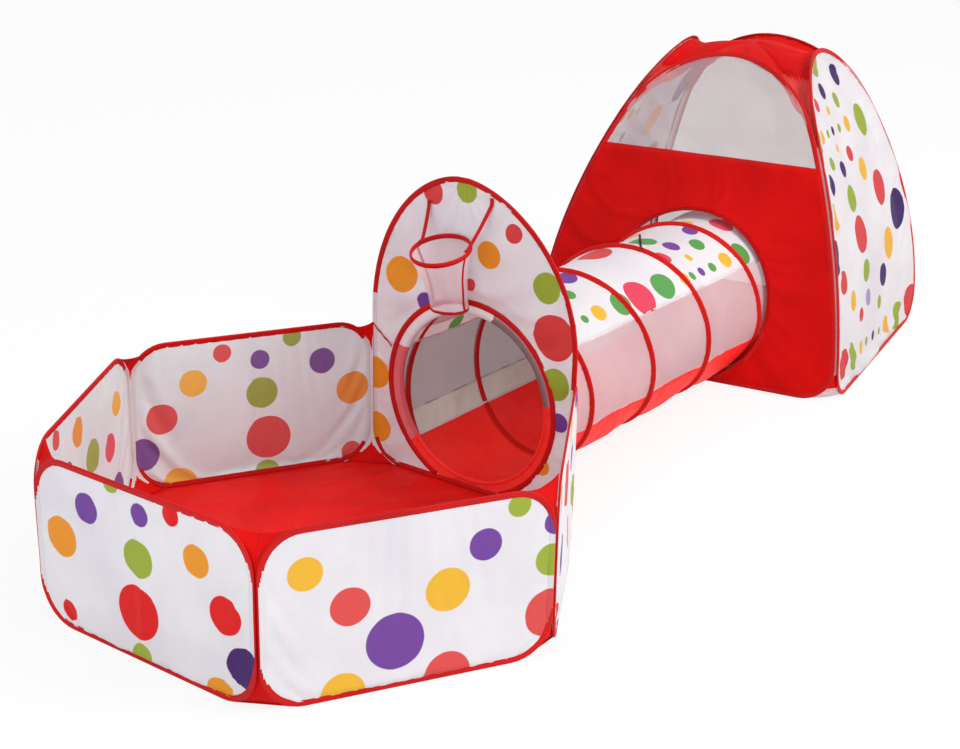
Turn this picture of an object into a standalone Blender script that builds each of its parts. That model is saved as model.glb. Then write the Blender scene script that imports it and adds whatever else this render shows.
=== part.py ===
import math

import bmesh
import bpy
from mathutils import Vector

# Pop-up play set: a six-sided ball pit with a tall hoop wall, a crawl tunnel held open by a
# coil of spring wire, and a tent of four spring loops. All sizes in metres, +Z up.
# The pit, the tunnel and the tent stand in a row along +X. The origin is on the ground,
# under the middle of the whole set.

# Ball pit
PIT_SIDE = 0.600
PIT_CORNERS = 6
WALL_HEIGHT = 0.371
WALL_CORNER = 0.088
HOOP_WALL_HEIGHT = 0.770
HOOP_WALL_SPRING_LINE = 0.400
HOOP_WALL_ARCH_END = 86.0
HOOP_WALL_ARCH_POWER = 1.11
HOOP_WALL_LEAN = 0.030
SEAM_GAP = 0.001
WALL_OFFSET = 0.0034

# Flat tube of cloth round each spring wire, and the wire and panel inside it
SLEEVE_WIDTH = 0.010
SLEEVE_THICKNESS = 0.006
SLEEVE_SLOT = 0.003
SLEEVE_WALL = 0.0015
WIRE = 0.0022
WIRE_CLEARANCE = 0.0004
CLOTH = 0.001
CLOTH_TUCK = 0.0035
CORNER_STEPS = 4
ARCH_STEPS = 9
WEB_OVERLAP = 0.006
WEB_THICKNESS = 0.0008
WEB_FROM_CORNER = 0.0001
WEB_DIP = 0.012
WEB_BOTTOM = 0.004
WEB_TOP = WALL_HEIGHT - 0.005

# Round port in the hoop wall and in the tent's front, cut off by the sleeve along the ground
PORT_RADIUS = 0.241
TENT_PORT_RADIUS = 0.244
BINDING_WIDTH = 0.010
BINDING_THICKNESS = 0.005
BINDING_OPEN_HALF_ANGLE = 28.0
BINDING_STEPS = 21
PORT_SIDES = 24
CUTTER_LENGTH = 0.05
TENT_CUTTER_LENGTH = 0.25

# Basketball hoop
RING_RADIUS = 0.0725
RING_HEIGHT = 0.632
RING_TO_SIDE = 0.032
RING_DROOP = 15.0
RING_WALL_GAP = 0.004
RING_SLEEVE_HEIGHT = 0.010
RING_SLEEVE_THICKNESS = 0.006
RING_WIRE = 0.002
NET_BOTTOM_HEIGHT = 0.474
NET_BOTTOM_TO_SIDE = 0.020
NET_BOTTOM_RADIUS = 0.044
NET_BOTTOM_FROM_WALL = 0.054
NET_FLARE = 1.4
RING_SIDES = 20
NET_SIDES = 16
NET_ROWS = 4
STRAP_WIDTH = 0.010
STRAP_THICKNESS = 0.001
STRAP_LEFT_TOP = (0.127, 0.700)
STRAP_RIGHT_TOP = (-0.053, 0.735)
STRAP_FLAT_LENGTH = 0.030
STRAP_LOW_BACK = 0.018
STRAP_LOW_INSET = 0.007

# Tunnel
TUNNEL_RADIUS = 0.2315
TUNNEL_START = 0.0125
TUNNEL_END = 1.180
COIL_SLEEVE_WIDTH = 0.010
COIL_SLEEVE_HEIGHT = 0.0105
COIL_PITCH = 0.285
COIL_FIRST_CROSSING = 0.193
COIL_START_ANGLE = -225
COIL_END_ANGLE = 1245
TUNNEL_STEP = 15
COVER_EDGE_ANGLE = 35.0
FLOOR_EDGE_ANGLE = -24.0
SKIN_GAP = 0.0004
SEAM_HALF_ANGLE = 0.06

# Tent
TENT_FROM_WALL = 1.470
TENT_TURN = 9.5
TENT_REACH = 0.5283
TENT_BASE = 0.455
TENT_DRAW_IN = 0.265
TENT_HEIGHT = 0.892
TENT_CORNER = 0.100
TENT_ARCH_START = 0.600
TENT_ARCH_POWER = 4.5
TENT_OFFSET = 0.0045
WINDOW_HEIGHT = 0.618
ROOF_TOP = 0.912
ROOF_EDGE_HEIGHT = 0.665
ROOF_UNDER = 0.0045
ROOF_TUCK = 0.006
ROOF_RINGS = (0.0, 0.35, 0.7)
TENT_SIDE_HEIGHTS = (0.2, 0.3, 0.4, 0.5)
TENT_ARCH_HEIGHTS = (0.25, 0.5, 0.68, 0.8, 0.88, 0.935, 0.97, 0.99, 0.999)

FLOOR_THICKNESS = 0.002
FACE_GAP = 0.0004

UP = Vector((0, 0, 1))
APOTHEM = PIT_SIDE * math.sqrt(3) / 2
LOW_X = -APOTHEM - WALL_OFFSET - SLEEVE_THICKNESS / 2
TUNNEL_AXIS = TUNNEL_RADIUS + FLOOR_THICKNESS + FACE_GAP
HIGH_X = APOTHEM + TENT_FROM_WALL + TENT_REACH
PIT_X = -(LOW_X + HIGH_X) / 2
WALL_X = PIT_X + APOTHEM
TENT_X = WALL_X + TENT_FROM_WALL

RED = (0.78, 0.06, 0.05)
WHITE = (0.88, 0.86, 0.89)
STEEL = (0.55, 0.56, 0.58)
PALE_MESH = (0.80, 0.80, 0.79)
GREEN_MESH = (0.72, 0.78, 0.72)


def clear_scene():
    for item in list(bpy.data.objects):
        bpy.data.objects.remove(item)


def make_material(name, colour, roughness, metallic=0.0):
    material = bpy.data.materials.new(name)
    material.use_nodes = True
    shader = material.node_tree.nodes["Principled BSDF"]
    shader.inputs["Base Color"].default_value = (*colour, 1.0)
    shader.inputs["Roughness"].default_value = roughness
    shader.inputs["Metallic"].default_value = metallic
    return material


def add_empty(name, place):
    empty = bpy.data.objects.new(name, None)
    empty.location = place
    bpy.context.scene.collection.objects.link(empty)
    return empty


def add_solid(name, shape, looks, group=None):
    """shape is (points, faces) in world places. The object's origin is its group's."""
    points, faces = shape
    origin = Vector(group.location) if group else Vector((0, 0, 0))
    colour, roughness, metallic = looks
    mesh = bpy.data.meshes.new(name)
    mesh.from_pydata([Vector(p) - origin for p in points], [], faces)
    edit = bmesh.new()
    edit.from_mesh(mesh)
    bmesh.ops.recalc_face_normals(edit, faces=edit.faces[:])
    if edit.calc_volume(signed=True) < 0:
        bmesh.ops.reverse_faces(edit, faces=edit.faces[:])
    edit.to_mesh(mesh)
    edit.free()
    solid = bpy.data.objects.new(name, mesh)
    mesh.materials.append(make_material(name, colour, roughness, metallic))
    bpy.context.scene.collection.objects.link(solid)
    solid.parent = group
    return solid


CLOTH_RED = (RED, 0.75, 0.0)
CLOTH_WHITE = (WHITE, 0.8, 0.0)
NET_PALE = (PALE_MESH, 0.85, 0.0)
NET_GREEN = (GREEN_MESH, 0.85, 0.0)
SPRING_STEEL = (STEEL, 0.35, 1.0)


# Shapes that are swept, stacked or extruded


def sweep(path, across, through, section, closed):
    """Carries a section of (across, through) offsets along a path."""
    points = []
    for place, a, b in zip(path, across, through):
        points += [place + a * i + b * j for i, j in section]
    n = len(section)
    steps = len(path) if closed else len(path) - 1
    faces = []
    for k in range(steps):
        k0 = k * n
        k1 = (k + 1) % len(path) * n
        faces += [(k0 + i, k0 + (i + 1) % n, k1 + (i + 1) % n, k1 + i) for i in range(n)]
    if not closed:
        faces.append(tuple(range(n)))
        faces.append(tuple(range(len(points) - n, len(points))))
    return points, faces


def channel(depth, width, opens_inward=True):
    """Section of a flat tube with one open side, measured from its outer edge."""
    half = width / 2
    slot = SLEEVE_SLOT / 2
    floor = SLEEVE_WALL
    corners = [
        (-depth, -half),
        (0, -half),
        (0, half),
        (-depth, half),
        (-depth, slot),
        (-floor, slot),
        (-floor, -slot),
        (-depth, -slot),
    ]
    if opens_inward:
        return corners
    return [(-depth - a, b) for a, b in corners]


def wire_section(size, start):
    """Section of a wire whose outer face lies start inside the edge it is measured from."""
    half = size / 2
    return [(-start, -half), (-start, half), (-start - size, half), (-start - size, -half)]


def edge_directions(path, normals):
    """Direction out of a closed outline at each corner, long enough to keep an even width."""
    n = len(path)
    edges = []
    for k in range(n):
        along = (path[(k + 1) % n] - path[k]).normalized()
        facing = (normals[k] + normals[(k + 1) % n]).normalized()
        edges.append(along.cross(facing).normalized())
    return [(edges[k - 1] + edges[k]) / (1 + edges[k - 1].dot(edges[k])) for k in range(n)]


def flat_sheet(corners, thickness):
    """A level sheet with these corners, lying on the ground."""
    n = len(corners)
    points = corners + [c + UP * thickness for c in corners]
    faces = [tuple(range(n)), tuple(range(n, 2 * n))]
    for k in range(n):
        after = (k + 1) % n
        faces.append((k, after, n + after, n + k))
    return points, faces


def moved(path, directions, distance):
    return [p + d * distance for p, d in zip(path, directions)]


def stacked_panel(outline, normals, thickness):
    """A sheet whose outline climbs one side and comes down the other in matching rows."""
    rows = len(outline) // 2
    points = []
    for side in (1, -1):
        points += [p + n * (side * thickness / 2) for p, n in zip(outline, normals)]
    back = len(outline)
    faces = []
    for k in range(rows - 1):
        left = len(outline) - 1 - k
        faces.append((k, k + 1, left - 1, left))
        faces.append((back + k, back + left, back + left - 1, back + k + 1))
    for k in range(back):
        after = (k + 1) % back
        faces.append((k, back + k, back + after, after))
    return points, faces


def arc_strip(radius, thickness, first, last, x_low, x_high):
    """A sheet bent to part of a cylinder along X, its corners on whole steps of the coil."""
    steps = [a for a in range(-360, 361, TUNNEL_STEP) if first + 1 < a < last - 1]
    points = []
    for x in (x_low, x_high):
        for r in (radius, radius - thickness):
            for angle in (first, *steps, last):
                points.append(tunnel_point(r, angle, x))
    n = len(steps) + 2
    faces = []
    for k in range(n - 1):
        faces.append((k, k + 1, 2 * n + k + 1, 2 * n + k))
        faces.append((n + k, 3 * n + k, 3 * n + k + 1, n + k + 1))
        faces.append((k, n + k, n + k + 1, k + 1))
        faces.append((2 * n + k, 2 * n + k + 1, 3 * n + k + 1, 3 * n + k))
    faces.append((0, 2 * n, 3 * n, n))
    faces.append((n - 1, 2 * n - 1, 4 * n - 1, 3 * n - 1))
    return points, faces


def tunnel_point(radius, angle, x):
    """Angle 0 faces the tunnel's -Y side and 90 is its top. Points between whole steps stay
    on the flat facet between them."""
    low = math.floor(angle / TUNNEL_STEP) * TUNNEL_STEP
    part = (angle - low) / TUNNEL_STEP
    ends = [math.radians(low), math.radians(low + TUNNEL_STEP)]
    y = [-radius * math.cos(a) for a in ends]
    z = [radius * math.sin(a) for a in ends]
    return Vector((x, y[0] + part * (y[1] - y[0]), TUNNEL_AXIS + z[0] + part * (z[1] - z[0])))


def ring_of(centre, first, second, radius, count):
    """Points and outward directions round a circle."""
    directions = []
    for k in range(count):
        angle = 2 * math.pi * k / count
        directions.append(first * math.cos(angle) + second * math.sin(angle))
    return [centre + d * radius for d in directions], directions


# Pit walls


def pit_corner(k):
    angle = math.radians(30 + 60 * k)
    return Vector((PIT_X + PIT_SIDE * math.cos(angle), PIT_SIDE * math.sin(angle), 0))


def corner_rows(half_width, radius):
    """Half widths and heights round a bottom corner, from the ground up."""
    rows = []
    for k in range(CORNER_STEPS + 1):
        angle = math.pi / 2 * k / CORNER_STEPS
        across, up = radius * math.sin(angle), radius * (1 - math.cos(angle))
        rows.append((half_width - radius + across, up))
    return rows


def low_wall_rows():
    bottom = corner_rows(PIT_SIDE / 2 - SEAM_GAP, WALL_CORNER)
    top = [(w, WALL_HEIGHT - z) for w, z in reversed(bottom)]
    return bottom + top


def hoop_wall_rows():
    half_width = PIT_SIDE / 2 - SEAM_GAP
    rise = HOOP_WALL_HEIGHT - HOOP_WALL_SPRING_LINE
    rows = corner_rows(half_width, WALL_CORNER)
    for k in range(ARCH_STEPS + 1):
        angle = math.radians(HOOP_WALL_ARCH_END * k / ARCH_STEPS)
        height = HOOP_WALL_SPRING_LINE + rise * math.sin(angle)
        rows.append((half_width * math.cos(angle) ** HOOP_WALL_ARCH_POWER, height))
    return rows


def upright_outline(rows, middle, outward, lean):
    """The rows as a closed outline on an upright plane, seen from outside. The part above
    the spring line leans sideways, by lean at its top."""
    side = UP.cross(outward)
    rise = HOOP_WALL_HEIGHT - HOOP_WALL_SPRING_LINE
    right, left = [], []
    for w, z in rows:
        shift = lean * max((z - HOOP_WALL_SPRING_LINE) / rise, 0) ** 2
        right.append(middle + side * (shift + w) + UP * z)
        left.append(middle + side * (shift - w) + UP * z)
    return right + left[::-1]


def framed_panel(name, outline, normals, group, panel_looks):
    """A spring wire loop, the cloth sleeve round it, and the panel sewn into the sleeve."""
    out = edge_directions(outline, normals)
    sleeve = channel(SLEEVE_WIDTH, SLEEVE_THICKNESS)
    wire = wire_section(WIRE, SLEEVE_WALL + WIRE_CLEARANCE)
    add_solid(name + "_wire", sweep(outline, out, normals, wire, True), SPRING_STEEL, group)
    add_solid(name + "_sleeve", sweep(outline, out, normals, sleeve, True), CLOTH_RED, group)
    edge = moved(outline, out, CLOTH_TUCK - SLEEVE_WIDTH)
    if panel_looks:
        add_solid(name + "_fabric", stacked_panel(edge, normals, CLOTH), panel_looks, group)
    return edge


def add_wall(name, first, rows, group, lean=0.0):
    """The wall between pit corner number first and the next one."""
    start, end = pit_corner(first), pit_corner(first + 1)
    outward = (end - start).cross(UP).normalized()
    middle = (start + end) / 2 + outward * WALL_OFFSET
    outline = upright_outline(rows, middle, outward, lean)
    framed_panel(name, outline, [outward] * len(outline), group, CLOTH_WHITE)
    return outward


def add_port_cutter(name, radius, x, length):
    bpy.ops.mesh.primitive_cylinder_add(
        vertices=PORT_SIDES,
        radius=radius,
        depth=length,
        location=(x, 0, TUNNEL_AXIS),
        rotation=(0, math.pi / 2, 0),
    )
    cutter = bpy.context.object
    cutter.name = name
    cutter.hide_render = True
    cutter.display_type = "WIRE"
    return cutter


def cut_port(panel_name, cutter):
    cut = bpy.data.objects[panel_name].modifiers.new("port", "BOOLEAN")
    cut.operation = "DIFFERENCE"
    cut.object = cutter


def add_port_binding(name, radius, x_of_height, slope_of_height, group):
    """Folded tape round a port's edge. Its two ends stand on the sleeve along the ground."""
    first = -90 + BINDING_OPEN_HALF_ANGLE
    last = 270 - BINDING_OPEN_HALF_ANGLE
    path, across, through = [], [], []
    for k in range(BINDING_STEPS + 1):
        angle = math.radians(first + (last - first) * k / BINDING_STEPS)
        y, z = math.cos(angle), math.sin(angle)
        height = TUNNEL_AXIS + radius * z
        facing = Vector((-1, 0, slope_of_height(height))).normalized()
        along = Vector((slope_of_height(height) * y, -z, y))
        path.append(Vector((x_of_height(height), radius * y, height)))
        across.append(facing.cross(along).normalized())
        through.append(facing)
    if across[0].y < 0:
        across = [-a for a in across]
    half = BINDING_WIDTH / 2
    section = [(a + half, b) for a, b in channel(BINDING_WIDTH, BINDING_THICKNESS, False)]
    add_solid(name, sweep(path, across, through, section, False), CLOTH_RED, group)


def add_pit_floor(group):
    middle = Vector((PIT_X, 0, 0))
    share = 1 - FACE_GAP / APOTHEM
    corners = [middle.lerp(pit_corner(k), share) for k in range(PIT_CORNERS)]
    add_solid("pit_floor", flat_sheet(corners, FLOOR_THICKNESS), CLOTH_RED, group)


def loop_setback(height, tall):
    """How far a wall's loop stands back from the pit corner at a height."""
    from_edge = height if tall or height < WALL_HEIGHT / 2 else WALL_HEIGHT - height
    if from_edge >= WALL_CORNER:
        return SEAM_GAP
    rise = WALL_CORNER - from_edge
    return SEAM_GAP + WALL_CORNER - math.sqrt(WALL_CORNER**2 - rise**2)


def add_corner_web(k, tall_sides, group):
    """Red cloth that joins two loops at a corner and fills the gaps at its top and bottom."""
    up = (0, 0.016, 0.042, WALL_CORNER - WEB_BOTTOM)
    down = (WALL_CORNER - WALL_HEIGHT + WEB_TOP, 0.041, 0.016, 0)
    heights = [WEB_BOTTOM + h for h in up] + [WEB_TOP - h for h in down]
    corner = pit_corner(k)
    inward = (Vector((PIT_X, 0, 0)) - corner).normalized()
    arms = [(pit_corner(k - 1) - corner).normalized(), (pit_corner(k + 1) - corner).normalized()]
    points = []
    for height in heights:
        for depth in (WEB_FROM_CORNER, WEB_FROM_CORNER + WEB_THICKNESS):
            fold = corner + inward * (depth / math.sin(math.radians(60)))
            low = WEB_DIP if height == heights[-1] else 0
            row = [fold + UP * (height - low)]
            for arm, tall in zip(arms, tall_sides):
                reach = loop_setback(height, tall) + WEB_OVERLAP
                inside = (inward - arm * inward.dot(arm)).normalized()
                tip = corner + arm * reach + inside * depth + UP * height
                row = [tip, *row] if arm is arms[0] else [*row, tip]
            points += row
    faces = []
    for k0 in range(0, 6 * (len(heights) - 1), 6):
        k1 = k0 + 6
        for i in (0, 1):
            faces.append((k0 + i, k0 + i + 1, k1 + i + 1, k1 + i))
            faces.append((k0 + 3 + i, k1 + 3 + i, k1 + 4 + i, k0 + 4 + i))
        faces.append((k0, k1, k1 + 3, k0 + 3))
        faces.append((k0 + 2, k0 + 5, k1 + 5, k1 + 2))
    last = 6 * (len(heights) - 1)
    for end in (0, last):
        for i in (0, 1):
            faces.append((end + i, end + i + 1, end + 4 + i, end + 3 + i))
    add_solid(f"corner_web_{k + 1}", (points, faces), CLOTH_RED, group)


def build_pit():
    hoop_wall = add_empty("hoop_wall_group", (0, 0, 0))
    add_wall("hoop_wall", 5, hoop_wall_rows(), hoop_wall, HOOP_WALL_LEAN)
    panel_x = WALL_X + WALL_OFFSET
    cutter = add_port_cutter("hoop_wall_port_cutter", PORT_RADIUS, panel_x, CUTTER_LENGTH)
    cut_port("hoop_wall_fabric", cutter)
    add_port_binding(
        "hoop_wall_port_binding",
        PORT_RADIUS,
        lambda z: panel_x,
        lambda z: 0.0,
        hoop_wall,
    )
    add_pit_floor(hoop_wall)
    # Walls 1, 2 and 3 fold from the +Y end of the hoop wall, and 5 and 4 from its -Y end
    folds = {1: 0, 2: 1, 3: 2, 5: 5, 4: 4}
    groups = {}
    for number, corner in folds.items():
        groups[number] = add_empty(f"wall_{number}_hinge", pit_corner(corner))
        add_wall(f"wall_{number}", number - 1, low_wall_rows(), groups[number])
    add_corner_web(0, (True, False), hoop_wall)
    add_corner_web(5, (False, True), hoop_wall)
    for corner, number in ((1, 1), (2, 2), (3, 3), (4, 5)):
        add_corner_web(corner, (False, False), groups[number])


# Basketball hoop


def build_hoop():
    droop = math.radians(RING_DROOP)
    forward = Vector((-math.cos(droop), 0, -math.sin(droop)))
    upward = Vector((-math.sin(droop), 0, math.cos(droop)))
    side = Vector((0, 1, 0))
    hinge = Vector((WALL_X - RING_WALL_GAP, RING_TO_SIDE, RING_HEIGHT))
    group = add_empty("hoop_hinge", hinge)
    centre = hinge + forward * (RING_RADIUS + FACE_GAP)
    path, out = ring_of(centre, forward, side, RING_RADIUS, RING_SIDES)
    faces_up = [upward] * len(path)
    sleeve = channel(RING_SLEEVE_THICKNESS, RING_SLEEVE_HEIGHT)
    wire = wire_section(RING_WIRE, SLEEVE_WALL + WIRE_CLEARANCE)
    add_solid("hoop_wire", sweep(path, out, faces_up, wire, True), SPRING_STEEL, group)
    add_solid("hoop_sleeve", sweep(path, out, faces_up, sleeve, True), CLOTH_RED, group)

    under = centre - upward * (RING_SLEEVE_HEIGHT / 2 + FACE_GAP)
    bottom = Vector((WALL_X - NET_BOTTOM_FROM_WALL, NET_BOTTOM_TO_SIDE, NET_BOTTOM_HEIGHT))
    top_radius = RING_RADIUS - RING_SLEEVE_THICKNESS / 2
    rows = NET_ROWS
    count = NET_SIDES
    points = []
    for k in range(rows):
        part = k / (rows - 1)
        middle = under.lerp(bottom, part)
        ahead = forward.lerp(Vector((-1, 0, 0)), part).normalized()
        flare = (top_radius - NET_BOTTOM_RADIUS) * (1 - part) ** NET_FLARE
        radius = NET_BOTTOM_RADIUS + flare
        for r in (radius, radius - CLOTH):
            points += ring_of(middle, ahead, side, r, count)[0]
    faces = []
    for k in range(rows - 1):
        for i in range(count):
            j = (i + 1) % count
            a, b = 2 * k * count, 2 * (k + 1) * count
            faces.append((a + i, a + j, b + j, b + i))
            faces.append((a + count + i, b + count + i, b + count + j, a + count + j))
    for a in (0, 2 * (rows - 1) * count):
        b = a + count
        faces += [(a + i, a + (i + 1) % count, b + (i + 1) % count, b + i) for i in range(count)]
    add_solid("hoop_net", (points, faces), NET_PALE, group)

    half = STRAP_THICKNESS / 2
    over = RING_SLEEVE_HEIGHT / 2 + FACE_GAP + half
    ring_side = centre - forward * STRAP_LOW_BACK + upward * over
    cloth_x = WALL_X + WALL_OFFSET - CLOTH / 2 - FACE_GAP - half
    straps = {"hoop_strap_left": (1, STRAP_LEFT_TOP), "hoop_strap_right": (-1, STRAP_RIGHT_TOP)}
    for name, (way, (across, height)) in straps.items():
        top = Vector((cloth_x, across, height))
        bend = top - UP * STRAP_FLAT_LENGTH
        low = ring_side + side * (way * (RING_RADIUS - STRAP_LOW_INSET))
        path = [top, bend, low]
        leans = (low - bend).normalized()
        face = side.cross(leans).normalized()
        through = (face + Vector((-1, 0, 0))).normalized()
        wide = STRAP_WIDTH / 2
        section = [(-wide, -half), (wide, -half), (wide, half), (-wide, half)]
        shape = sweep(path, [side] * 3, [through] * 3, section, False)
        add_solid(name, shape, CLOTH_RED)


# Tunnel


def coil_point(angle):
    """Place and outward direction of the coil's outer edge. Angle 0 is on the -Y side and
    the coil goes on through the ground side."""
    turn = math.radians(angle)
    out = Vector((0, -math.cos(turn), -math.sin(turn)))
    x = WALL_X + COIL_FIRST_CROSSING + COIL_PITCH * angle / 360
    return Vector((x, 0, TUNNEL_AXIS)) + out * TUNNEL_RADIUS, out


def least_coil_gap(path):
    """Smallest clear distance between two turns, between points over a quarter turn apart."""
    apart = 90 // TUNNEL_STEP
    gaps = [(a - b).length for k, a in enumerate(path) for b in path[k + apart :]]
    return min(gaps) - COIL_SLEEVE_WIDTH


def build_tunnel():
    along = Vector((1, 0, 0))
    angles = range(COIL_START_ANGLE, COIL_END_ANGLE + 1, TUNNEL_STEP)
    path, out = zip(*[coil_point(a) for a in angles])
    print(f"least gap between the coil's turns: {least_coil_gap(path) * 1000:.0f} mm")
    through = [along] * len(path)
    wire = wire_section(WIRE, SLEEVE_WALL + WIRE_CLEARANCE)
    sleeve = channel(COIL_SLEEVE_HEIGHT, COIL_SLEEVE_WIDTH)
    add_solid("tunnel_coil_wire", sweep(path, out, through, wire, False), SPRING_STEEL)
    add_solid("tunnel_coil_sleeve", sweep(path, out, through, sleeve, False), CLOTH_RED)

    skin_radius = TUNNEL_RADIUS - COIL_SLEEVE_HEIGHT - SKIN_GAP
    half = COIL_SLEEVE_WIDTH / 2
    x_low, x_high = WALL_X + TUNNEL_START - half, WALL_X + TUNNEL_END + half
    cover, floor = COVER_EDGE_ANGLE, FLOOR_EDGE_ANGLE
    strips = {
        "tunnel_cover": (cover, 180 - cover, CLOTH_WHITE),
        "tunnel_mesh_right": (floor, cover, NET_PALE),
        "tunnel_mesh_left": (180 - cover, 180 - floor, NET_PALE),
        "tunnel_floor": (-180 - floor, floor, CLOTH_RED),
    }
    for name, (first, last, looks) in strips.items():
        ends = (first + SEAM_HALF_ANGLE, last - SEAM_HALF_ANGLE)
        add_solid(name, arc_strip(skin_radius, CLOTH, *ends, x_low, x_high), looks)

    end_radius = skin_radius - CLOTH - SKIN_GAP
    ring_sleeve = channel(COIL_SLEEVE_HEIGHT, COIL_SLEEVE_WIDTH, False)
    ring_wire = wire_section(WIRE, COIL_SLEEVE_HEIGHT - SLEEVE_WALL - WIRE_CLEARANCE - WIRE)
    far_group = add_empty("tunnel_far_ring", (WALL_X + TUNNEL_END, 0, TUNNEL_AXIS))
    rings = {
        "tunnel_near_ring": (TUNNEL_START, None),
        "tunnel_far_ring": (TUNNEL_END, far_group),
    }
    for name, (distance, group) in rings.items():
        centre = Vector((WALL_X + distance, 0, TUNNEL_AXIS))
        path, out = ring_of(centre, Vector((0, -1, 0)), UP, end_radius, 360 // TUNNEL_STEP)
        through = [along] * len(path)
        add_solid(name + "_wire", sweep(path, out, through, ring_wire, True), SPRING_STEEL, group)
        add_solid(name + "_sleeve", sweep(path, out, through, ring_sleeve, True), CLOTH_RED, group)


# Tent


def tent_half(height):
    """Half the tent's width at a height: upright at the ground and drawn in towards the top."""
    return TENT_BASE - TENT_DRAW_IN * (height / TENT_HEIGHT) ** 2


def tent_slope(height):
    return 2 * TENT_DRAW_IN * height / TENT_HEIGHT**2


def tent_rows():
    rows = []
    for w, z in corner_rows(0, TENT_CORNER):
        rows.append((tent_half(z) - SEAM_GAP - FACE_GAP + w, z))
    for z in (*TENT_SIDE_HEIGHTS, TENT_ARCH_START):
        rows.append((tent_half(z) - SEAM_GAP - FACE_GAP, z))
    for part in TENT_ARCH_HEIGHTS:
        z = TENT_ARCH_START + (TENT_HEIGHT - TENT_ARCH_START) * part
        width = (tent_half(z) - SEAM_GAP - FACE_GAP) * math.sqrt(1 - part**TENT_ARCH_POWER)
        rows.append((width, z))
    return rows


def tent_facet_half(rows, height):
    """Half the tent's width on the flat facets between its rows."""
    for (_, low), (_, high) in zip(rows, rows[1:]):
        if low <= height <= high:
            part = (height - low) / (high - low)
            return tent_half(low) * (1 - part) + tent_half(high) * part
    return tent_half(height)


def tent_outline(rows, outward):
    """The rows as a closed outline on the tent's bowed side, with the side's facing."""
    side = UP.cross(outward)
    middle = Vector((TENT_X, 0, 0))
    places, facings = [], []
    for way in (1, -1):
        for w, z in rows[::way]:
            on_side = middle + outward * (tent_half(z) + TENT_OFFSET) + UP * z
            places.append(on_side + side * (w * way))
            facings.append((outward + UP * tent_slope(z)).normalized())
    return places, facings


def split_front(edge, group):
    """The front's red cloth below and the mesh window above, cut from one outline."""
    rows = len(edge) // 2
    low = [k for k in range(rows) if edge[k].z < WINDOW_HEIGHT - 0.01]
    high = [k for k in range(rows) if edge[k].z > WINDOW_HEIGHT + 0.01]

    def at_line(shift):
        a, b = edge[low[-1]], edge[high[0]]
        return a.lerp(b, (WINDOW_HEIGHT + shift - a.z) / (b.z - a.z))

    def mirrored(points):
        return points + [Vector((p.x, -p.y, p.z)) for p in reversed(points)]

    red = mirrored([edge[k] for k in low] + [at_line(-FACE_GAP)])
    mesh = mirrored([at_line(FACE_GAP)] + [edge[k] for k in high])
    halves = {"tent_front_cloth": (red, CLOTH_RED), "tent_front_window": (mesh, NET_PALE)}
    for name, (outline, looks) in halves.items():
        normals = [Vector((-1, 0, tent_slope(p.z))).normalized() for p in outline]
        add_solid(name, stacked_panel(outline, normals, CLOTH), looks, group)


def add_roof(rows, group):
    """Red cloth under the four arches, from their inner edges up to the middle of the roof."""
    rim = []
    for x, y in ((-1, 0), (0, 1), (1, 0), (0, -1)):
        outline, facings = tent_outline(rows, Vector((x, y, 0)))
        out = edge_directions(outline, facings)
        for place, o, facing in zip(outline, out, facings):
            if place.z > ROOF_EDGE_HEIGHT:
                rim.append(place - o * ROOF_TUCK - facing * ROOF_UNDER)
    peak = Vector((TENT_X, 0, ROOF_TOP))
    n = len(rim)
    points = []
    for drop in (0, CLOTH):
        for share in ROOF_RINGS:
            points += [p.lerp(peak, share) - UP * drop for p in rim]
    points += [peak, peak - UP * CLOTH]
    top, under = len(points) - 2, len(points) - 1
    inner = (len(ROOF_RINGS) - 1) * n
    layer = inner + n
    faces = []
    for k in range(n):
        j = (k + 1) % n
        for ring in range(len(ROOF_RINGS) - 1):
            a, b = ring * n, (ring + 1) * n
            faces.append((a + k, a + j, b + j, b + k))
            faces.append((layer + a + k, layer + b + k, layer + b + j, layer + a + j))
        faces.append((inner + k, inner + j, top))
        faces.append((layer + inner + j, layer + inner + k, under))
        faces.append((k, layer + k, layer + j, j))
    add_solid("tent_roof", (points, faces), CLOTH_RED, group)


def build_tent():
    group = add_empty("tent_group", (TENT_X, 0, 0))
    rows = tent_rows()
    sides = {
        "tent_front": (Vector((-1, 0, 0)), None),
        "tent_right": (Vector((0, -1, 0)), CLOTH_WHITE),
        "tent_back": (Vector((1, 0, 0)), NET_GREEN),
        "tent_left": (Vector((0, 1, 0)), CLOTH_WHITE),
    }
    for name, (outward, looks) in sides.items():
        outline, facings = tent_outline(rows, outward)
        edge = framed_panel(name, outline, facings, group, looks)
        if looks is None:
            split_front(edge, group)
    front_x = TENT_X - TENT_BASE
    cutter = add_port_cutter("tent_port_cutter", TENT_PORT_RADIUS, front_x, TENT_CUTTER_LENGTH)
    cutter.location.x -= TENT_X
    cutter.parent = group
    cut_port("tent_front_cloth", cutter)
    add_port_binding(
        "tent_port_binding",
        TENT_PORT_RADIUS,
        lambda z: TENT_X - tent_facet_half(rows, z) - TENT_OFFSET,
        tent_slope,
        group,
    )
    add_roof(rows, group)
    half = TENT_BASE - FACE_GAP
    signs = ((-1, -1), (1, -1), (1, 1), (-1, 1))
    corners = [Vector((TENT_X + a * half, b * half, 0)) for a, b in signs]
    add_solid("tent_floor", flat_sheet(corners, FLOOR_THICKNESS), CLOTH_RED, group)
    # The tent stands turned a little on the tunnel's end, its port still on the tunnel's axis
    turn = math.radians(TENT_TURN)
    group.location.y = TENT_BASE * math.sin(turn)
    group.rotation_euler.z = turn


clear_scene()
build_pit()
build_hoop()
build_tunnel()
build_tent()
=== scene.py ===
import math

import bmesh
import bpy
from mathutils import Matrix, Vector, noise


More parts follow.
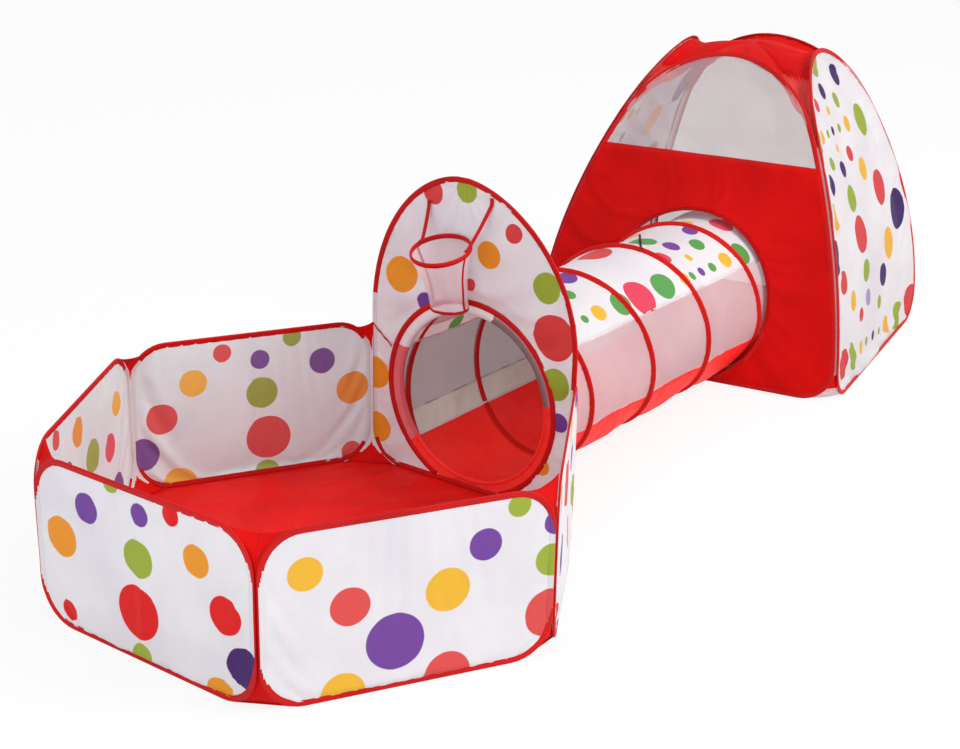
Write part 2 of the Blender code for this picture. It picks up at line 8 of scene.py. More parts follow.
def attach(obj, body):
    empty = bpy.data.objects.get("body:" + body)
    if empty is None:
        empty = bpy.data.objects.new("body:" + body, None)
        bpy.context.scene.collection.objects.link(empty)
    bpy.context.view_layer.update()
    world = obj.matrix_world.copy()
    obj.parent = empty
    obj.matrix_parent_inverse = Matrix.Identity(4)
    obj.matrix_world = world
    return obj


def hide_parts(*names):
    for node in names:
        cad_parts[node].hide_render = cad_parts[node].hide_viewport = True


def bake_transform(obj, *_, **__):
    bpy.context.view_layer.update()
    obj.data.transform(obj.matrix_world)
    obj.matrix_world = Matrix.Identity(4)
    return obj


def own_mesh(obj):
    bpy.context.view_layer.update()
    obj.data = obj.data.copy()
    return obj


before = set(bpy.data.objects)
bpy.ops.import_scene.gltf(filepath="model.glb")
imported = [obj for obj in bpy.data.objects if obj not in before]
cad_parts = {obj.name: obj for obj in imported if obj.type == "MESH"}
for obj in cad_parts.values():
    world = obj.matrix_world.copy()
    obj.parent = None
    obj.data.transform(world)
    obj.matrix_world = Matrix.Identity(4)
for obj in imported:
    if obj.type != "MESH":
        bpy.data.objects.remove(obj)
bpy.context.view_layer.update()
scene = bpy.context.scene
scene.view_settings.view_transform = "Standard"
up = Vector((0, 0, 1))


def srgb(red, green, blue):
    return (*[((c / 255 + 0.055) / 1.055) ** 2.4 if c > 10 else c / 3295 for c in (red, green, blue)], 1.0)


def noiseAt(x, y, z):
    return noise.noise(Vector((x, y, z)))


def smoothStep(t):
    t = min(max(t, 0.0), 1.0)
    return t * t * (3 - 2 * t)


def addNode(tree, kind, inputs=None, output=0, **settings):
    made = tree.nodes.new(kind)
    for key, value in settings.items():
        setattr(made, key, value)
    for key, value in (inputs or {}).items():
        if isinstance(value, bpy.types.NodeSocket):
            tree.links.new(value, made.inputs[key])
        else:
            made.inputs[key].default_value = value
    return made.outputs[output] if len(made.outputs) else None


def remap(tree, value, fromLow, fromHigh, toLow, toHigh):
    return addNode(tree, "ShaderNodeMapRange", {0: value, 1: fromLow, 2: fromHigh, 3: toLow, 4: toHigh})


def mixColours(tree, share, first, second, kind="MIX"):
    return addNode(tree, "ShaderNodeMixRGB", {0: share, 1: first, 2: second}, blend_type=kind)


def mixShaders(tree, share, first, second):
    return addNode(tree, "ShaderNodeMixShader", {0: share, 1: first, 2: second})


def clearTree(owner):
    owner.use_nodes = True
    owner.node_tree.nodes.clear()
    return owner.node_tree


def addObject(name, points, edges=(), faces=()):
    mesh = bpy.data.meshes.new(name)
    mesh.from_pydata([Vector(p) for p in points], edges, faces)
    piece = bpy.data.objects.new(name, mesh)
    scene.collection.objects.link(piece)
    return piece


def setFlat(piece, flatOf):
    layer = piece.data.uv_layers.new(name="flat")
    for loop in piece.data.loops:
        layer.data[loop.index].uv = flatOf(loop.vertex_index)


def addThickness(piece, thickness, backSlot=0):
    wall = piece.modifiers.new("cloth", "SOLIDIFY")
    wall.thickness = thickness
    wall.offset = 0
    wall.material_offset = backSlot


def addMesh(name, points, faces, flat, materials, pick=None, thickness=0.0, backSlot=0):
    piece = addObject(name, points, (), faces)
    setFlat(piece, lambda i: flat[i])
    for material in materials:
        piece.data.materials.append(material)
    for polygon in piece.data.polygons:
        polygon.use_smooth = True
        if pick:
            polygon.material_index = pick(polygon)
    if thickness:
        addThickness(piece, thickness, backSlot)
    return piece


def gridFaces(rows, columns, closedRows=False, closedColumns=False):
    faces = []
    for r in range(rows if closedRows else rows - 1):
        below, above = r * columns, (r + 1) % rows * columns
        for c in range(columns if closedColumns else columns - 1):
            d = (c + 1) % columns
            faces.append((below + c, below + d, above + d, above + c))
    return faces


def areaOf(piece):
    return sum(polygon.area for polygon in piece.data.polygons)


def settle(piece, body, nodes=()):
    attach(piece, body)
    if nodes:
        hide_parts(*nodes)


inks = {
    "red": srgb(228, 74, 74), "coral": srgb(232, 88, 84), "bright": srgb(232, 24, 24),
    "rose": srgb(236, 72, 100), "purple": srgb(126, 76, 168), "navy": srgb(74, 36, 112),
    "lilac": srgb(178, 168, 205),
    "orange": srgb(242, 164, 44), "yellow": srgb(245, 196, 60), "lime": srgb(168, 188, 66),
    "green": srgb(96, 172, 88),
}
dotBlur = 0.0008  # how soft a dot's edge is
# what a cloth has where its own look says nothing else
plainCloth = {
    "weave": 260.0, "contrast": 0.07, "crumple": 34.0, "depth": 0.0012, "roughness": 0.6, "gloss": 0.3,
    "sheen": 0.08, "through": 0.0, "open": 0.0, "faded": 0.0,
}


def lookOf(base, colour, shade, **settings):
    return {**base, "colour": srgb(*colour), "shade": srgb(*shade), **settings}


def paler(colour, share):
    return (*[c + (0.8 - c) * share for c in colour[:3]], 1.0)


def clothMaterial(name, look, dots=None):
    material = bpy.data.materials.new(name)
    tree = clearTree(material)
    place = addNode(tree, "ShaderNodeTexCoord", output="Object")
    flat = addNode(tree, "ShaderNodeUVMap", uv_map="flat")
    cloud = addNode(tree, "ShaderNodeTexNoise", {"Vector": place, "Scale": 6.0, "Detail": 4.0})
    colour = mixColours(tree, remap(tree, cloud, 0.35, 0.7, 0.0, 1.0), look["colour"], look["shade"])
    for ink, spots in (dots or {}).items():
        for u, v, radius in spots:
            ends = {0: flat, 1: (u, v, 0)}
            away = addNode(tree, "ShaderNodeVectorMath", ends, "Value", operation="DISTANCE")
            inside = remap(tree, away, radius - dotBlur, radius + dotBlur, 1.0, 0.0)
            colour = mixColours(tree, inside, colour, paler(inks[ink], look["faded"]))
    threads = {"Vector": flat, "Scale": look["weave"]}
    waves = [addNode(tree, "ShaderNodeTexWave", threads, "Fac", bands_direction=way) for way in ("X", "Y")]
    weave = addNode(tree, "ShaderNodeMath", {0: waves[0], 1: waves[1]}, operation="MULTIPLY")
    shade = remap(tree, weave, 0.0, 1.0, 1.0 - look["contrast"], 1.0)
    colour = mixColours(tree, 1.0, colour, shade, "MULTIPLY")
    crumple = addNode(tree, "ShaderNodeTexNoise", {"Vector": place, "Scale": look["crumple"], "Detail": 3.0})
    fine = addNode(tree, "ShaderNodeBump", {"Strength": 0.25, "Distance": 0.0002, "Height": weave})
    bumps = {"Strength": 1.0, "Distance": look["depth"], "Height": crumple, "Normal": fine}
    coarse = addNode(tree, "ShaderNodeBump", bumps)
    finish = {
        "Base Color": colour, "Roughness": look["roughness"], "Specular IOR Level": look["gloss"],
        "Sheen Weight": look["sheen"], "Sheen Roughness": 0.4, "Normal": coarse,
    }
    shader = addNode(tree, "ShaderNodeBsdfPrincipled", finish)
    if look["through"]:
        glow = addNode(tree, "ShaderNodeBsdfTranslucent", {"Color": colour, "Normal": coarse})
        shader = mixShaders(tree, look["through"], shader, glow)
    if look["open"]:
        holes = remap(tree, weave, 0.0, 1.0, look["open"] + 0.08, look["open"] - 0.08)
        shader = mixShaders(tree, holes, shader, addNode(tree, "ShaderNodeBsdfTransparent"))
    addNode(tree, "ShaderNodeOutputMaterial", {0: shader})
    return material


redBase = {**plainCloth, "sheen": 0.0, "gloss": 0.2}
fineNet = {**plainCloth, "weave": 150.0, "depth": 0.0004, "through": 0.3}
looseNet = {**plainCloth, "weave": 150.0, "through": 0.4}
whiteLook = lookOf(plainCloth, (243, 242, 244), (235, 231, 236), through=0.26, gloss=0.25)
# painted light: the inside faces are a cooler copy of the white cloth, tinted against the red light the floor
# throws on them, with paler dots
coolInsideLook = lookOf(whiteLook, (238, 250, 252), (229, 243, 246), faded=0.1)
redLook = lookOf(redBase, (230, 12, 8), (212, 7, 6), through=0.2, gloss=0.12, roughness=0.7)
floorLook = lookOf(redBase, (234, 20, 14), (214, 9, 8), roughness=0.55, depth=0.003, crumple=22.0)
tapeLook = lookOf(
    redBase, (212, 14, 14), (188, 8, 10), weave=200.0, contrast=0.2, crumple=90.0, depth=0.0006,
)
coilLook = lookOf(tapeLook, (244, 34, 26), (226, 22, 20), through=0.25)
# painted shade: the far net is as dark as the shaded inside of the tunnel seen through both nets
farShadedNetLook = lookOf(fineNet, (150, 122, 126), (134, 108, 112), open=0.12, through=0.2)

redCloth = clothMaterial("red cloth", redLook)
sheerRed = clothMaterial(
    "sheer red cloth", lookOf(redLook, (250, 92, 82), (240, 74, 66), through=0.45, open=0.12)
)
floorCloth = clothMaterial("red floor cloth", floorLook)
# painted light: a brighter copy of the floor cloth, for the light that comes into the tunnel through its nets
litTunnelFloor = clothMaterial("tunnel floor cloth, painted light", lookOf(floorLook, (255, 56, 48), (248, 34, 28)))
redTape = clothMaterial("red tape", tapeLook)
coilTape = clothMaterial("coil tape", coilLook)
pinkTape = clothMaterial("pink tape", lookOf(coilLook, (246, 128, 134), (236, 112, 120)))
blackTape = clothMaterial("black tape", lookOf(tapeLook, (24, 22, 24), (34, 31, 33)))
redThread = clothMaterial("red thread", lookOf(plainCloth, (226, 60, 56), (214, 44, 42), weave=900.0))
plainWhite = clothMaterial("white tape", whiteLook)
plainCoolInside = clothMaterial("white lining", coolInsideLook)
sideNet = clothMaterial("side net", lookOf(fineNet, (252, 228, 232), (244, 212, 218), open=0.28))
farShadedNet = clothMaterial("far side net, painted shade", farShadedNetLook)
# painted shade: the near ring and collar on the right are darkened like the far net behind them
shadedNet = clothMaterial("shaded net", lookOf(farShadedNetLook, (146, 118, 122), (132, 106, 110)))
# painted light: a pale band low on the far side of the tunnel, where light from outside shows through the net
paintedLightBand = clothMaterial("net band, painted light", lookOf(fineNet, (228, 230, 222), (214, 216, 208), open=0.1))
hoopNet = clothMaterial("hoop net", lookOf(looseNet, (246, 232, 236), (238, 218, 224), open=0.4))
backNet = clothMaterial("back net", lookOf(looseNet, (226, 228, 222), (214, 217, 211), open=0.2))
windowNet = clothMaterial("window net", lookOf(looseNet, (244, 238, 241), (236, 228, 232), open=0.52))


def steelMaterial():
    material = bpy.data.materials.new("spring steel")
    tree = clearTree(material)
    place = addNode(tree, "ShaderNodeTexCoord", output="Object")
    streak = addNode(tree, "ShaderNodeTexNoise", {"Vector": place, "Scale": 120.0, "Detail": 3.0})
    finish = {
        "Base Color": srgb(150, 152, 158), "Metallic": 1.0,
        "Roughness": remap(tree, streak, 0.0, 1.0, 0.25, 0.5),
    }
    addNode(tree, "ShaderNodeOutputMaterial", {0: addNode(tree, "ShaderNodeBsdfPrincipled", finish)})
    return material


springSteel = steelMaterial()
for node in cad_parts.values():
    node.data.materials.clear()
    node.data.materials.append(springSteel)
print("materials made")


def newGeometryTree(name, sizes):
    tree = bpy.data.node_groups.new(name, "GeometryNodeTree")
    for label, kind in {"Geometry": "Geometry", **sizes}.items():
        tree.interface.new_socket(label, in_out="INPUT", socket_type="NodeSocket" + kind)
    tree.interface.new_socket("Geometry", in_out="OUTPUT", socket_type="NodeSocketGeometry")
    return tree, tree.nodes.new("NodeGroupInput").outputs


def closeTree(tree, geometry, material):
    whole = addNode(tree, "GeometryNodeRealizeInstances", {0: geometry})
    dressed = addNode(tree, "GeometryNodeSetMaterial", {"Geometry": whole, "Material": material})
    addNode(tree, "NodeGroupOutput", {0: dressed})
    return tree


def makeStitchTree():
    sizes = {"Spacing": "Float", "Length": "Float", "Thickness": "Float", "Thread": "Material"}
    tree, given = newGeometryTree("stitch row", sizes)
    seam = addNode(tree, "GeometryNodeMeshToCurve", {0: given["Geometry"]})
    spaced = {"Curve": seam, "Length": given["Spacing"]}
    holes = addNode(tree, "GeometryNodeResampleCurve", spaced, mode="LENGTH")
    loop = addNode(tree, "GeometryNodeMeshUVSphere", {"Segments": 5, "Rings": 4, "Radius": 0.5})
    along = addNode(tree, "GeometryNodeInputTangent")
    turn = addNode(tree, "FunctionNodeAlignRotationToVector", {"Vector": along}, axis="X")
    thick = given["Thickness"]
    size = addNode(tree, "ShaderNodeCombineXYZ", {0: given["Length"], 1: thick, 2: thick})
    loops = {"Points": holes, "Instance": loop, "Rotation": turn, "Scale": size}
    return closeTree(tree, addNode(tree, "GeometryNodeInstanceOnPoints", loops), given["Thread"])


def makeCoilTree():
    sizes = {"Radius": "Float", "Turns": "Float", "Length": "Float", "Steps": "Int", "Tape": "Material"}
    tree, given = newGeometryTree("spring coil", sizes)
    spiral = {
        "Resolution": given["Steps"], "Rotations": given["Turns"], "Start Radius": given["Radius"],
        "End Radius": given["Radius"], "Height": given["Length"],
    }
    wire = addNode(tree, "GeometryNodeCurveSpiral", spiral)
    level = addNode(tree, "GeometryNodeSetCurveNormal", {"Curve": wire}, mode="Z_UP")
    section = addNode(tree, "GeometryNodeMeshToCurve", {0: given["Geometry"]})
    sweep = {"Curve": level, "Profile Curve": section, "Fill Caps": True}
    return closeTree(tree, addNode(tree, "GeometryNodeCurveToMesh", sweep), given["Tape"])


def runTree(piece, tree, values):
    modifier = piece.modifiers.new("maker", "NODES")
    modifier.node_group = tree
    for item in tree.interface.items_tree:
        if item.in_out == "INPUT" and item.name in values:
            modifier[item.identifier] = values[item.name]
    bpy.context.view_layer.update()
    ready = piece.evaluated_get(bpy.context.evaluated_depsgraph_get())
    mesh = bpy.data.meshes.new_from_object(ready)
    piece.modifiers.remove(modifier)
    piece.data = mesh


stitchTree = makeStitchTree()
coilTree = makeCoilTree()
# the sizes of one stitch, and where a row lies: in from the edge, and off the middle of the cloth
stitch = {"Spacing": 0.0055, "Length": 0.0036, "Thickness": 0.0006}
seamRow = {"depth": 0.0078, "lift": 0.0016}


def addStitches(name, rows, place, free=(1.0, 1.0)):
    # none show where a loop's own cloth covers its tape, between the two free heights
    points, edges = [], []
    outline = list(zip(*outlineOf(rows)))
    hidden = [free[0] < z < free[1] for (_, z), _ in outline]
    for n in (seamRow["lift"], -seamRow["lift"]):
        first = len(points)
        points += [(w - ow * seamRow["depth"], z - oz * seamRow["depth"], n) for (w, z), (ow, oz) in outline]
        last = len(outline) - 1
        edges += [(first + k, first + k + 1) for k in range(last) if not hidden[k] and not hidden[k + 1]]
        if not any(hidden):
            edges.append((first + last, first))
    piece = addObject(name, points, edges)
    runTree(piece, stitchTree, {**stitch, "Thread": redThread})
    vertices = piece.data.vertices
    for vertex in vertices:
        vertex.co = place(*vertex.co)
    setFlat(piece, lambda i: (vertices[i].co.x + vertices[i].co.y, vertices[i].co.z))
    return piece


view = {
    "focal": 62.269, "place": (-3.4306, -2.1845, 1.6883), "yaw": 36.079, "pitch": 20.719, "roll": 1.273,
}


def addCamera():
    yaw, pitch, roll = (math.radians(view[k]) for k in ("yaw", "pitch", "roll"))
    ahead = Vector((math.cos(yaw) * math.cos(pitch), math.sin(yaw) * math.cos(pitch), -math.sin(pitch)))
    level = Vector((math.sin(yaw), -math.cos(yaw), 0))
    above = level.cross(ahead)
    right = level * math.cos(roll) + above * math.sin(roll)
    above = above * math.cos(roll) - level * math.sin(roll)
    camera = bpy.data.objects.new("camera", bpy.data.cameras.new("camera"))
    camera.data.lens = view["focal"]
    camera.data.sensor_width = 36.0
    camera.data.clip_end = 200.0
    turn = Matrix((right, above, -ahead)).transposed()
    camera.matrix_world = Matrix.Translation(view["place"]) @ turn.to_4x4()
    scene.collection.objects.link(camera)
    scene.camera = camera


studio = {"sky": 0.84, "floorGlow": 0.86, "floorSize": 60, "floorLevel": -0.0004}
lamps = {
    "key": {"place": (1.6, -5.2, 5.0), "size": 2.6, "watts": 300.0, "tint": (1.0, 0.97, 0.93)},
    "fill": {"place": (-5.5, -1.0, 3.2), "size": 4.0, "watts": 75.0, "tint": (1.0, 0.95, 0.98)},
}
lampAim = Vector((0.0, 0.0, 0.3))


def showsWhite(tree):
    path = addNode(tree, "ShaderNodeLightPath").node.outputs
    seen = path["Is Camera Ray"]
    for ray in ("Is Glossy Ray", "Is Transmission Ray"):
        seen = addNode(tree, "ShaderNodeMath", {0: seen, 1: path[ray]}, operation="MAXIMUM")
    return seen


def addStudio():
    scene.world = bpy.data.worlds.new("studio")
    tree = clearTree(scene.world)
    sky = addNode(tree, "ShaderNodeBackground", {0: (0.96, 0.97, 1.0, 1.0), 1: studio["sky"]})
    white = addNode(tree, "ShaderNodeBackground", {0: (1, 1, 1, 1), 1: 1.0})
    addNode(tree, "ShaderNodeOutputWorld", {0: mixShaders(tree, showsWhite(tree), sky, white)})
    for name, lamp in lamps.items():
        light = bpy.data.lights.new(name, "AREA")
        light.shape = "SQUARE"
        light.size = lamp["size"]
        light.energy = lamp["watts"]
        light.color = lamp["tint"]
        holder = bpy.data.objects.new(name, light)
        place = Vector(lamp["place"])
        turn = (place - lampAim).to_track_quat("Z", "Y").to_matrix()
        holder.matrix_world = Matrix.Translation(place) @ turn.to_4x4()
        scene.collection.objects.link(holder)
    level = (0, 0, studio["floorLevel"])
    bpy.ops.mesh.primitive_grid_add(
        x_subdivisions=8, y_subdivisions=8, size=studio["floorSize"], location=level
    )
    floor = bpy.context.object
    floor.name = "studio_floor"
    material = bpy.data.materials.new("studio floor")
    tree = clearTree(material)
    matt = addNode(tree, "ShaderNodeBsdfDiffuse", {0: (0.86, 0.86, 0.87, 1.0)})
    glow = addNode(tree, "ShaderNodeEmission", {0: (1, 1, 1, 1), 1: 1.0})
    lit = {0: showsWhite(tree), 1: studio["floorGlow"]}
    share = addNode(tree, "ShaderNodeMath", lit, operation="MULTIPLY")
    addNode(tree, "ShaderNodeOutputMaterial", {0: mixShaders(tree, share, matt, glow)})
    floor.data.materials.append(material)


addCamera()
addStudio()
print("camera and studio made")

pit = {
    "side": 0.6, "middleX": -0.99595, "wallHeight": 0.371, "corner": 0.088, "offset": 0.0034, "seam": 0.001,
}
hoopWall = {
    "height": 0.770, "spring": 0.400, "archEnd": 86.0, "power": 1.11, "lean": 0.030, "port": 0.241,
    "whiteTo": 0.40, "seamTape": ((0.296, 0.362), (0.236, 0.316)),
}
wallHalf = pit["side"] / 2 - pit["seam"]
wallX = pit["middleX"] + pit["side"] * math.sqrt(3) / 2
axisHeight = 0.2339  # of the tunnel and both ports
tuck = 0.0065  # how far the cloths' edges lie inside the tapes


def mirrored(half):
    return half + [(a, -b) for a, b in half[-2:0:-1]]


# each section runs across from the tape's outer edge, with its half thickness
sleeveSection = mirrored([
    (0.0006, 0.0), (0.0, 0.0017), (-0.0018, 0.0026), (-0.0044, 0.0025), (-0.0066, 0.0016), (-0.0090, 0.0011),
    (-0.0128, 0.0010), (-0.0134, 0.0),
])
bindingSection = mirrored([
    (0.0072, 0.0), (0.0070, 0.0012), (0.0030, 0.0021), (-0.0030, 0.0026), (-0.0062, 0.0018), (-0.0068, 0.0),
])
coilSection = mirrored([
    (0.0004, 0.0), (-0.0006, 0.0020), (-0.0030, 0.0034), (-0.0074, 0.0044), (-0.0096, 0.0062),
    (-0.0103, 0.0086), (-0.0110, 0.0084), (-0.0112, 0.0),
])


def roundSection(depth, width, steps=12):
    turns = [2 * math.pi * k / steps for k in range(steps)]
    return [(depth / 2 * math.cos(t), width / 2 * math.sin(t)) for t in turns]


def pitCorner(k):
    angle = math.radians(30 + 60 * k)
    return Vector((pit["middleX"] + pit["side"] * math.cos(angle), pit["side"] * math.sin(angle), 0))


def leanAt(z):
    rise = hoopWall["height"] - hoopWall["spring"]
    return hoopWall["lean"] * max((z - hoopWall["spring"]) / rise, 0) ** 2


def wallPlace(first, leans=False):
    start, end = pitCorner(first), pitCorner(first + 1)
    outward = (end - start).cross(up).normalized()
    side = up.cross(outward)
    middle = (start + end) / 2 + outward * pit["offset"]
    shift = leanAt if leans else lambda z: 0.0
    return lambda w, z, n=0.0: middle + side * (w + shift(z)) + up * z + outward * n


# rows are pairs: half the width of a loop's outline, and the height there
def cornerRows(half, radius, steps=9):
    turns = [math.pi / 2 * k / steps for k in range(steps + 1)]
    return [(half - radius + radius * math.sin(t), radius * (1 - math.cos(t))) for t in turns]


def climb(width, low, high, step=0.009):
    count = max(2, round((high - low) / step))
    return [(width(low + (high - low) * k / count), low + (high - low) * k / count) for k in range(1, count)]


def pitWallRows(tall):
    bottom = cornerRows(wallHalf, pit["corner"])
    top = [(w, pit["wallHeight"] - z) for w, z in reversed(bottom)]
    if tall:
        low, rise = hoopWall["spring"], hoopWall["height"] - hoopWall["spring"]
        turns = [math.radians(hoopWall["archEnd"]) * k / 40 for k in range(41)]
        top = [(wallHalf * math.cos(a) ** hoopWall["power"], low + rise * math.sin(a)) for a in turns]
    return bottom + climb(lambda z: wallHalf, bottom[-1][1], top[0][1]) + top


def outlineOf(rows):
    loop = [*rows, *[(-w, z) for w, z in reversed(rows)]]
    outs = []
    for k in range(len(loop)):
        a, b = loop[k - 1], loop[(k + 1) % len(loop)]
        along = Vector((b[0] - a[0], b[1] - a[1])).normalized()
        outs.append((along.y, -along.x))
    return loop, outs


def insetRows(rows, depth):
    loop, outs = outlineOf(rows)
    return [(w - o[0] * depth, z - o[1] * depth) for (w, z), o in zip(loop[: len(rows)], outs)]


def cutRows(rows, low, high):
    kept = []
    for (w0, z0), (w1, z1) in zip(rows, rows[1:]):
        if low <= z0 <= high:
            kept.append((w0, z0))
        for line in (low, high):
            if z0 < line < z1:
                kept.append((w0 + (w1 - w0) * (line - z0) / (z1 - z0), line))
    if low <= rows[-1][1] <= high:
        kept.append(rows[-1])
    return sorted(set(kept), key=lambda row: row[1])


def areaInside(rows):
    return sum((a[0] + b[0]) * (b[1] - a[1]) for a, b in zip(rows, rows[1:]))


drape = {
    "frames": 20, "quality": 4, "mass": 0.14, "stretch": 14.0, "shear": 5.0, "bend": 0.06, "damping": 3.0,
    "cap": 0.016,
}


def settleCloth(piece, slack):
    # the cloth is a little larger than its frame, so it buckles between the sewn edges
    counts = {}
    for polygon in piece.data.polygons:
        for key in polygon.edge_keys:
            counts[key] = counts.get(key, 0) + 1
    rim = {i for key, count in counts.items() if count == 1 for i in key}
    # the ring of points next to the edge lies under the tape too
    sewn = sorted({i for key in counts if rim & set(key) for i in key})
    group = piece.vertex_groups.new(name="sewn")
    group.add(sewn, 1.0, "REPLACE")
    modifier = piece.modifiers.new("drape", "CLOTH")
    cloth = modifier.settings
    cloth.quality = drape["quality"]
    cloth.mass = drape["mass"]
    cloth.tension_stiffness = cloth.compression_stiffness = drape["stretch"]
    cloth.shear_stiffness = drape["shear"]
    cloth.bending_stiffness = drape["bend"]
    cloth.air_damping = drape["damping"]
    cloth.vertex_group_mass = group.name
    cloth.shrink_min = -slack
    modifier.collision_settings.use_collision = False
    modifier.collision_settings.use_self_collision = False
    modifier.point_cache.frame_start = 1
    modifier.point_cache.frame_end = drape["frames"]
    for step in range(1, drape["frames"] + 1):
        scene.frame_set(step)
    ready = piece.evaluated_get(bpy.context.evaluated_depsgraph_get())
    moved = [v.co.copy() for v in ready.data.vertices]
    piece.modifiers.remove(modifier)
    piece.vertex_groups.remove(group)
    scene.frame_set(1)
    most = 0.0
    for vertex, target in zip(piece.data.vertices, moved):
        step = target - vertex.co
        most = max(most, step.length)
        if step.length > drape["cap"]:
            step = step.normalized() * drape["cap"]
        vertex.co += step
    print("settled", piece.name, round(most, 4))


def addPanel(
    name, rows, place, relief, materials, columns, port=None, thickness=0.0005, slack=0.0, shift=None,
    backSlot=0,
):
    points = [[half * (2 * c / columns - 1), z] for half, z in rows for c in range(columns + 1)]
    faces = gridFaces(len(rows), columns + 1)
    if port:
        centre, radius = port
        away = [math.hypot(w, z - centre) for w, z in points]
        faces = [face for face in faces if any(away[i] >= radius for i in face)]
        for i in {i for face in faces for i in face if away[i] < radius}:
            w, z = points[i]
            points[i] = [w * radius / away[i], centre + (z - centre) * radius / away[i]]
    used = sorted({i for face in faces for i in face})
    index = {old: new for new, old in enumerate(used)}
    faces = [tuple(index[i] for i in face) for face in faces]
    flat = [points[i] for i in used]
    solid = [place(w, z, relief(w, z)) for w, z in flat]
    if shift:
        flat = [(w + shift(z), z) for w, z in flat]
    panel = addMesh(name, solid, faces, flat, materials)
    if slack:
        settleCloth(panel, slack)
    if thickness:
        addThickness(panel, thickness, backSlot)
    return panel


def solidOutwards(piece):
    edit = bmesh.new()
    edit.from_mesh(piece.data)
    bmesh.ops.recalc_face_normals(edit, faces=edit.faces[:])
    if edit.calc_volume(signed=True) < 0:
        bmesh.ops.reverse_faces(edit, faces=edit.faces[:])
    edit.to_mesh(piece.data)
    edit.free()
    return piece


def frameAt(place, w, z, ow, oz):
    # a point of an edge, the way out from it in the cloth, and the way through the cloth
    at = place(w, z)
    out = (place(w + ow * 0.001, z + oz * 0.001) - at).normalized()
    return at, out, (place(w, z, 0.001) - at).normalized()


def sweepTape(name, frames, section, closed=True, pucker=0.0004, seed=0.0, materials=(redTape,)):
    points, flat = [], []
    run = 0.0
    for k, (at, out, through) in enumerate(frames):
        if k:
            run += (at - frames[k - 1][0]).length
        sway = noiseAt(run * 25, seed + 9.0, 0) * pucker
        for i, (a, b) in enumerate(section):
            shake = noiseAt(run * 70, seed + i * 0.6, 0) * pucker
            points.append(at + out * (a + shake * (a < -0.004)) + through * (b + sway))
            flat.append((run, a + abs(b)))
    n = len(section)
    faces = [face[::-1] for face in gridFaces(len(frames), n, closed, True)]
    if not closed:
        faces += [tuple(range(n))[::-1], tuple(range(len(points) - n, len(points)))]
    return solidOutwards(addMesh(name, points, faces, flat, materials))


def addSleeve(name, rows, place, seed, materials=(redTape,)):
    frames = [frameAt(place, w, z, ow, oz) for (w, z), (ow, oz) in zip(*outlineOf(rows))]
    return sweepTape(name, frames, sleeveSection, True, 0.0005, seed, materials)


def addBinding(name, radius, place, openHalf, seed=1.0, steps=90):
    # the binding of a port, open at the bottom over twice openHalf degrees
    frames = []
    for k in range(steps + 1):
        a = math.radians(-90 + openHalf + (360 - 2 * openHalf) * k / steps)
        w, z = radius * math.cos(a), axisHeight + radius * math.sin(a)
        frames.append(frameAt(place, w, z, math.cos(a), math.sin(a)))
    return sweepTape(name, frames, bindingSection, False, 0.0005, seed)


# folds: how many to a metre, their height, and how far in from a sewn edge they grow or fade
wrinkles = {
    "soft": 7, "crease": (16, 5), "rough": 0.0016, "grow": 0.05, "gathers": 190, "gather": 0.0006,
    "fade": 0.012,
}


def panelRelief(half, low, high, bow, seed, rough=wrinkles["rough"]):

    def relief(w, z):
        u = min(abs(w / half), 1.0)
        v = min(abs(2 * (z - low) / (high - low) - 1), 1.0)
        middle = (1 - u**2) * (1 - v**2)
        edge = min(half - abs(w), z - low, high - z)
        soft = noiseAt(w * wrinkles["soft"] + seed, z * wrinkles["soft"], seed) * 2 * rough
        along, across = wrinkles["crease"]
        crease = noiseAt((w + z) * along, (w - z) * across, seed + 3) * rough
        gather = math.sin((w + z * 0.4) * wrinkles["gathers"] + seed) * wrinkles["gather"]
        gather *= math.exp(-max(edge, 0) / wrinkles["fade"])
        return bow * middle + (soft + crease) * smoothStep(edge / wrinkles["grow"]) + gather

    return relief


# how much of a pit wall's tape is red: on an upright, and where it widens below and above the split
redEdge = {"upright": 0.0023, "low": 0.0110, "high": 0.0140, "split": 0.40, "start": 0.02, "fade": 0.04}
whiteInside = {"from": 0.05, "past": 0.03}  # the heights between which the tape's inside is white


def showCloth(tape, rows, place, top):
    # the tape is red along its edge, and the panel's own cloth covers the rest of it
    loop, outs = outlineOf(rows)
    n = len(sleeveSection)
    start = place(0, 0)
    side = (place(1, 0) - start).normalized()
    layer = tape.data.uv_layers["flat"]
    for polygon in tape.data.polygons:
        k, i = divmod(polygon.index, n)
        (w, z), (a0, b0), (a1, b1) = loop[k], sleeveSection[i], sleeveSection[(i + 1) % n]
        depth, inside = -(a0 + a1) / 2, b0 + b1 < 0
        edge = top if w > 0 else pit["wallHeight"] - pit["corner"] + redEdge["start"]
        shown = redEdge["low"] if z < redEdge["split"] else redEdge["high"]
        if inside:
            shown = 0.0 if whiteInside["from"] < z < edge + whiteInside["past"] else redEdge["high"]
        else:
            risen = smoothStep((z - pit["corner"] + redEdge["start"]) / redEdge["fade"])
            shown -= (shown - redEdge["upright"]) * risen * smoothStep((edge - z) / redEdge["fade"])
        if depth < shown:
            continue
        polygon.material_index = 2 if inside else 1
        for j in polygon.loop_indices:
            co = tape.data.vertices[tape.data.loops[j].vertex_index].co - start
            layer.data[j].uv = (co.dot(side), co.z)


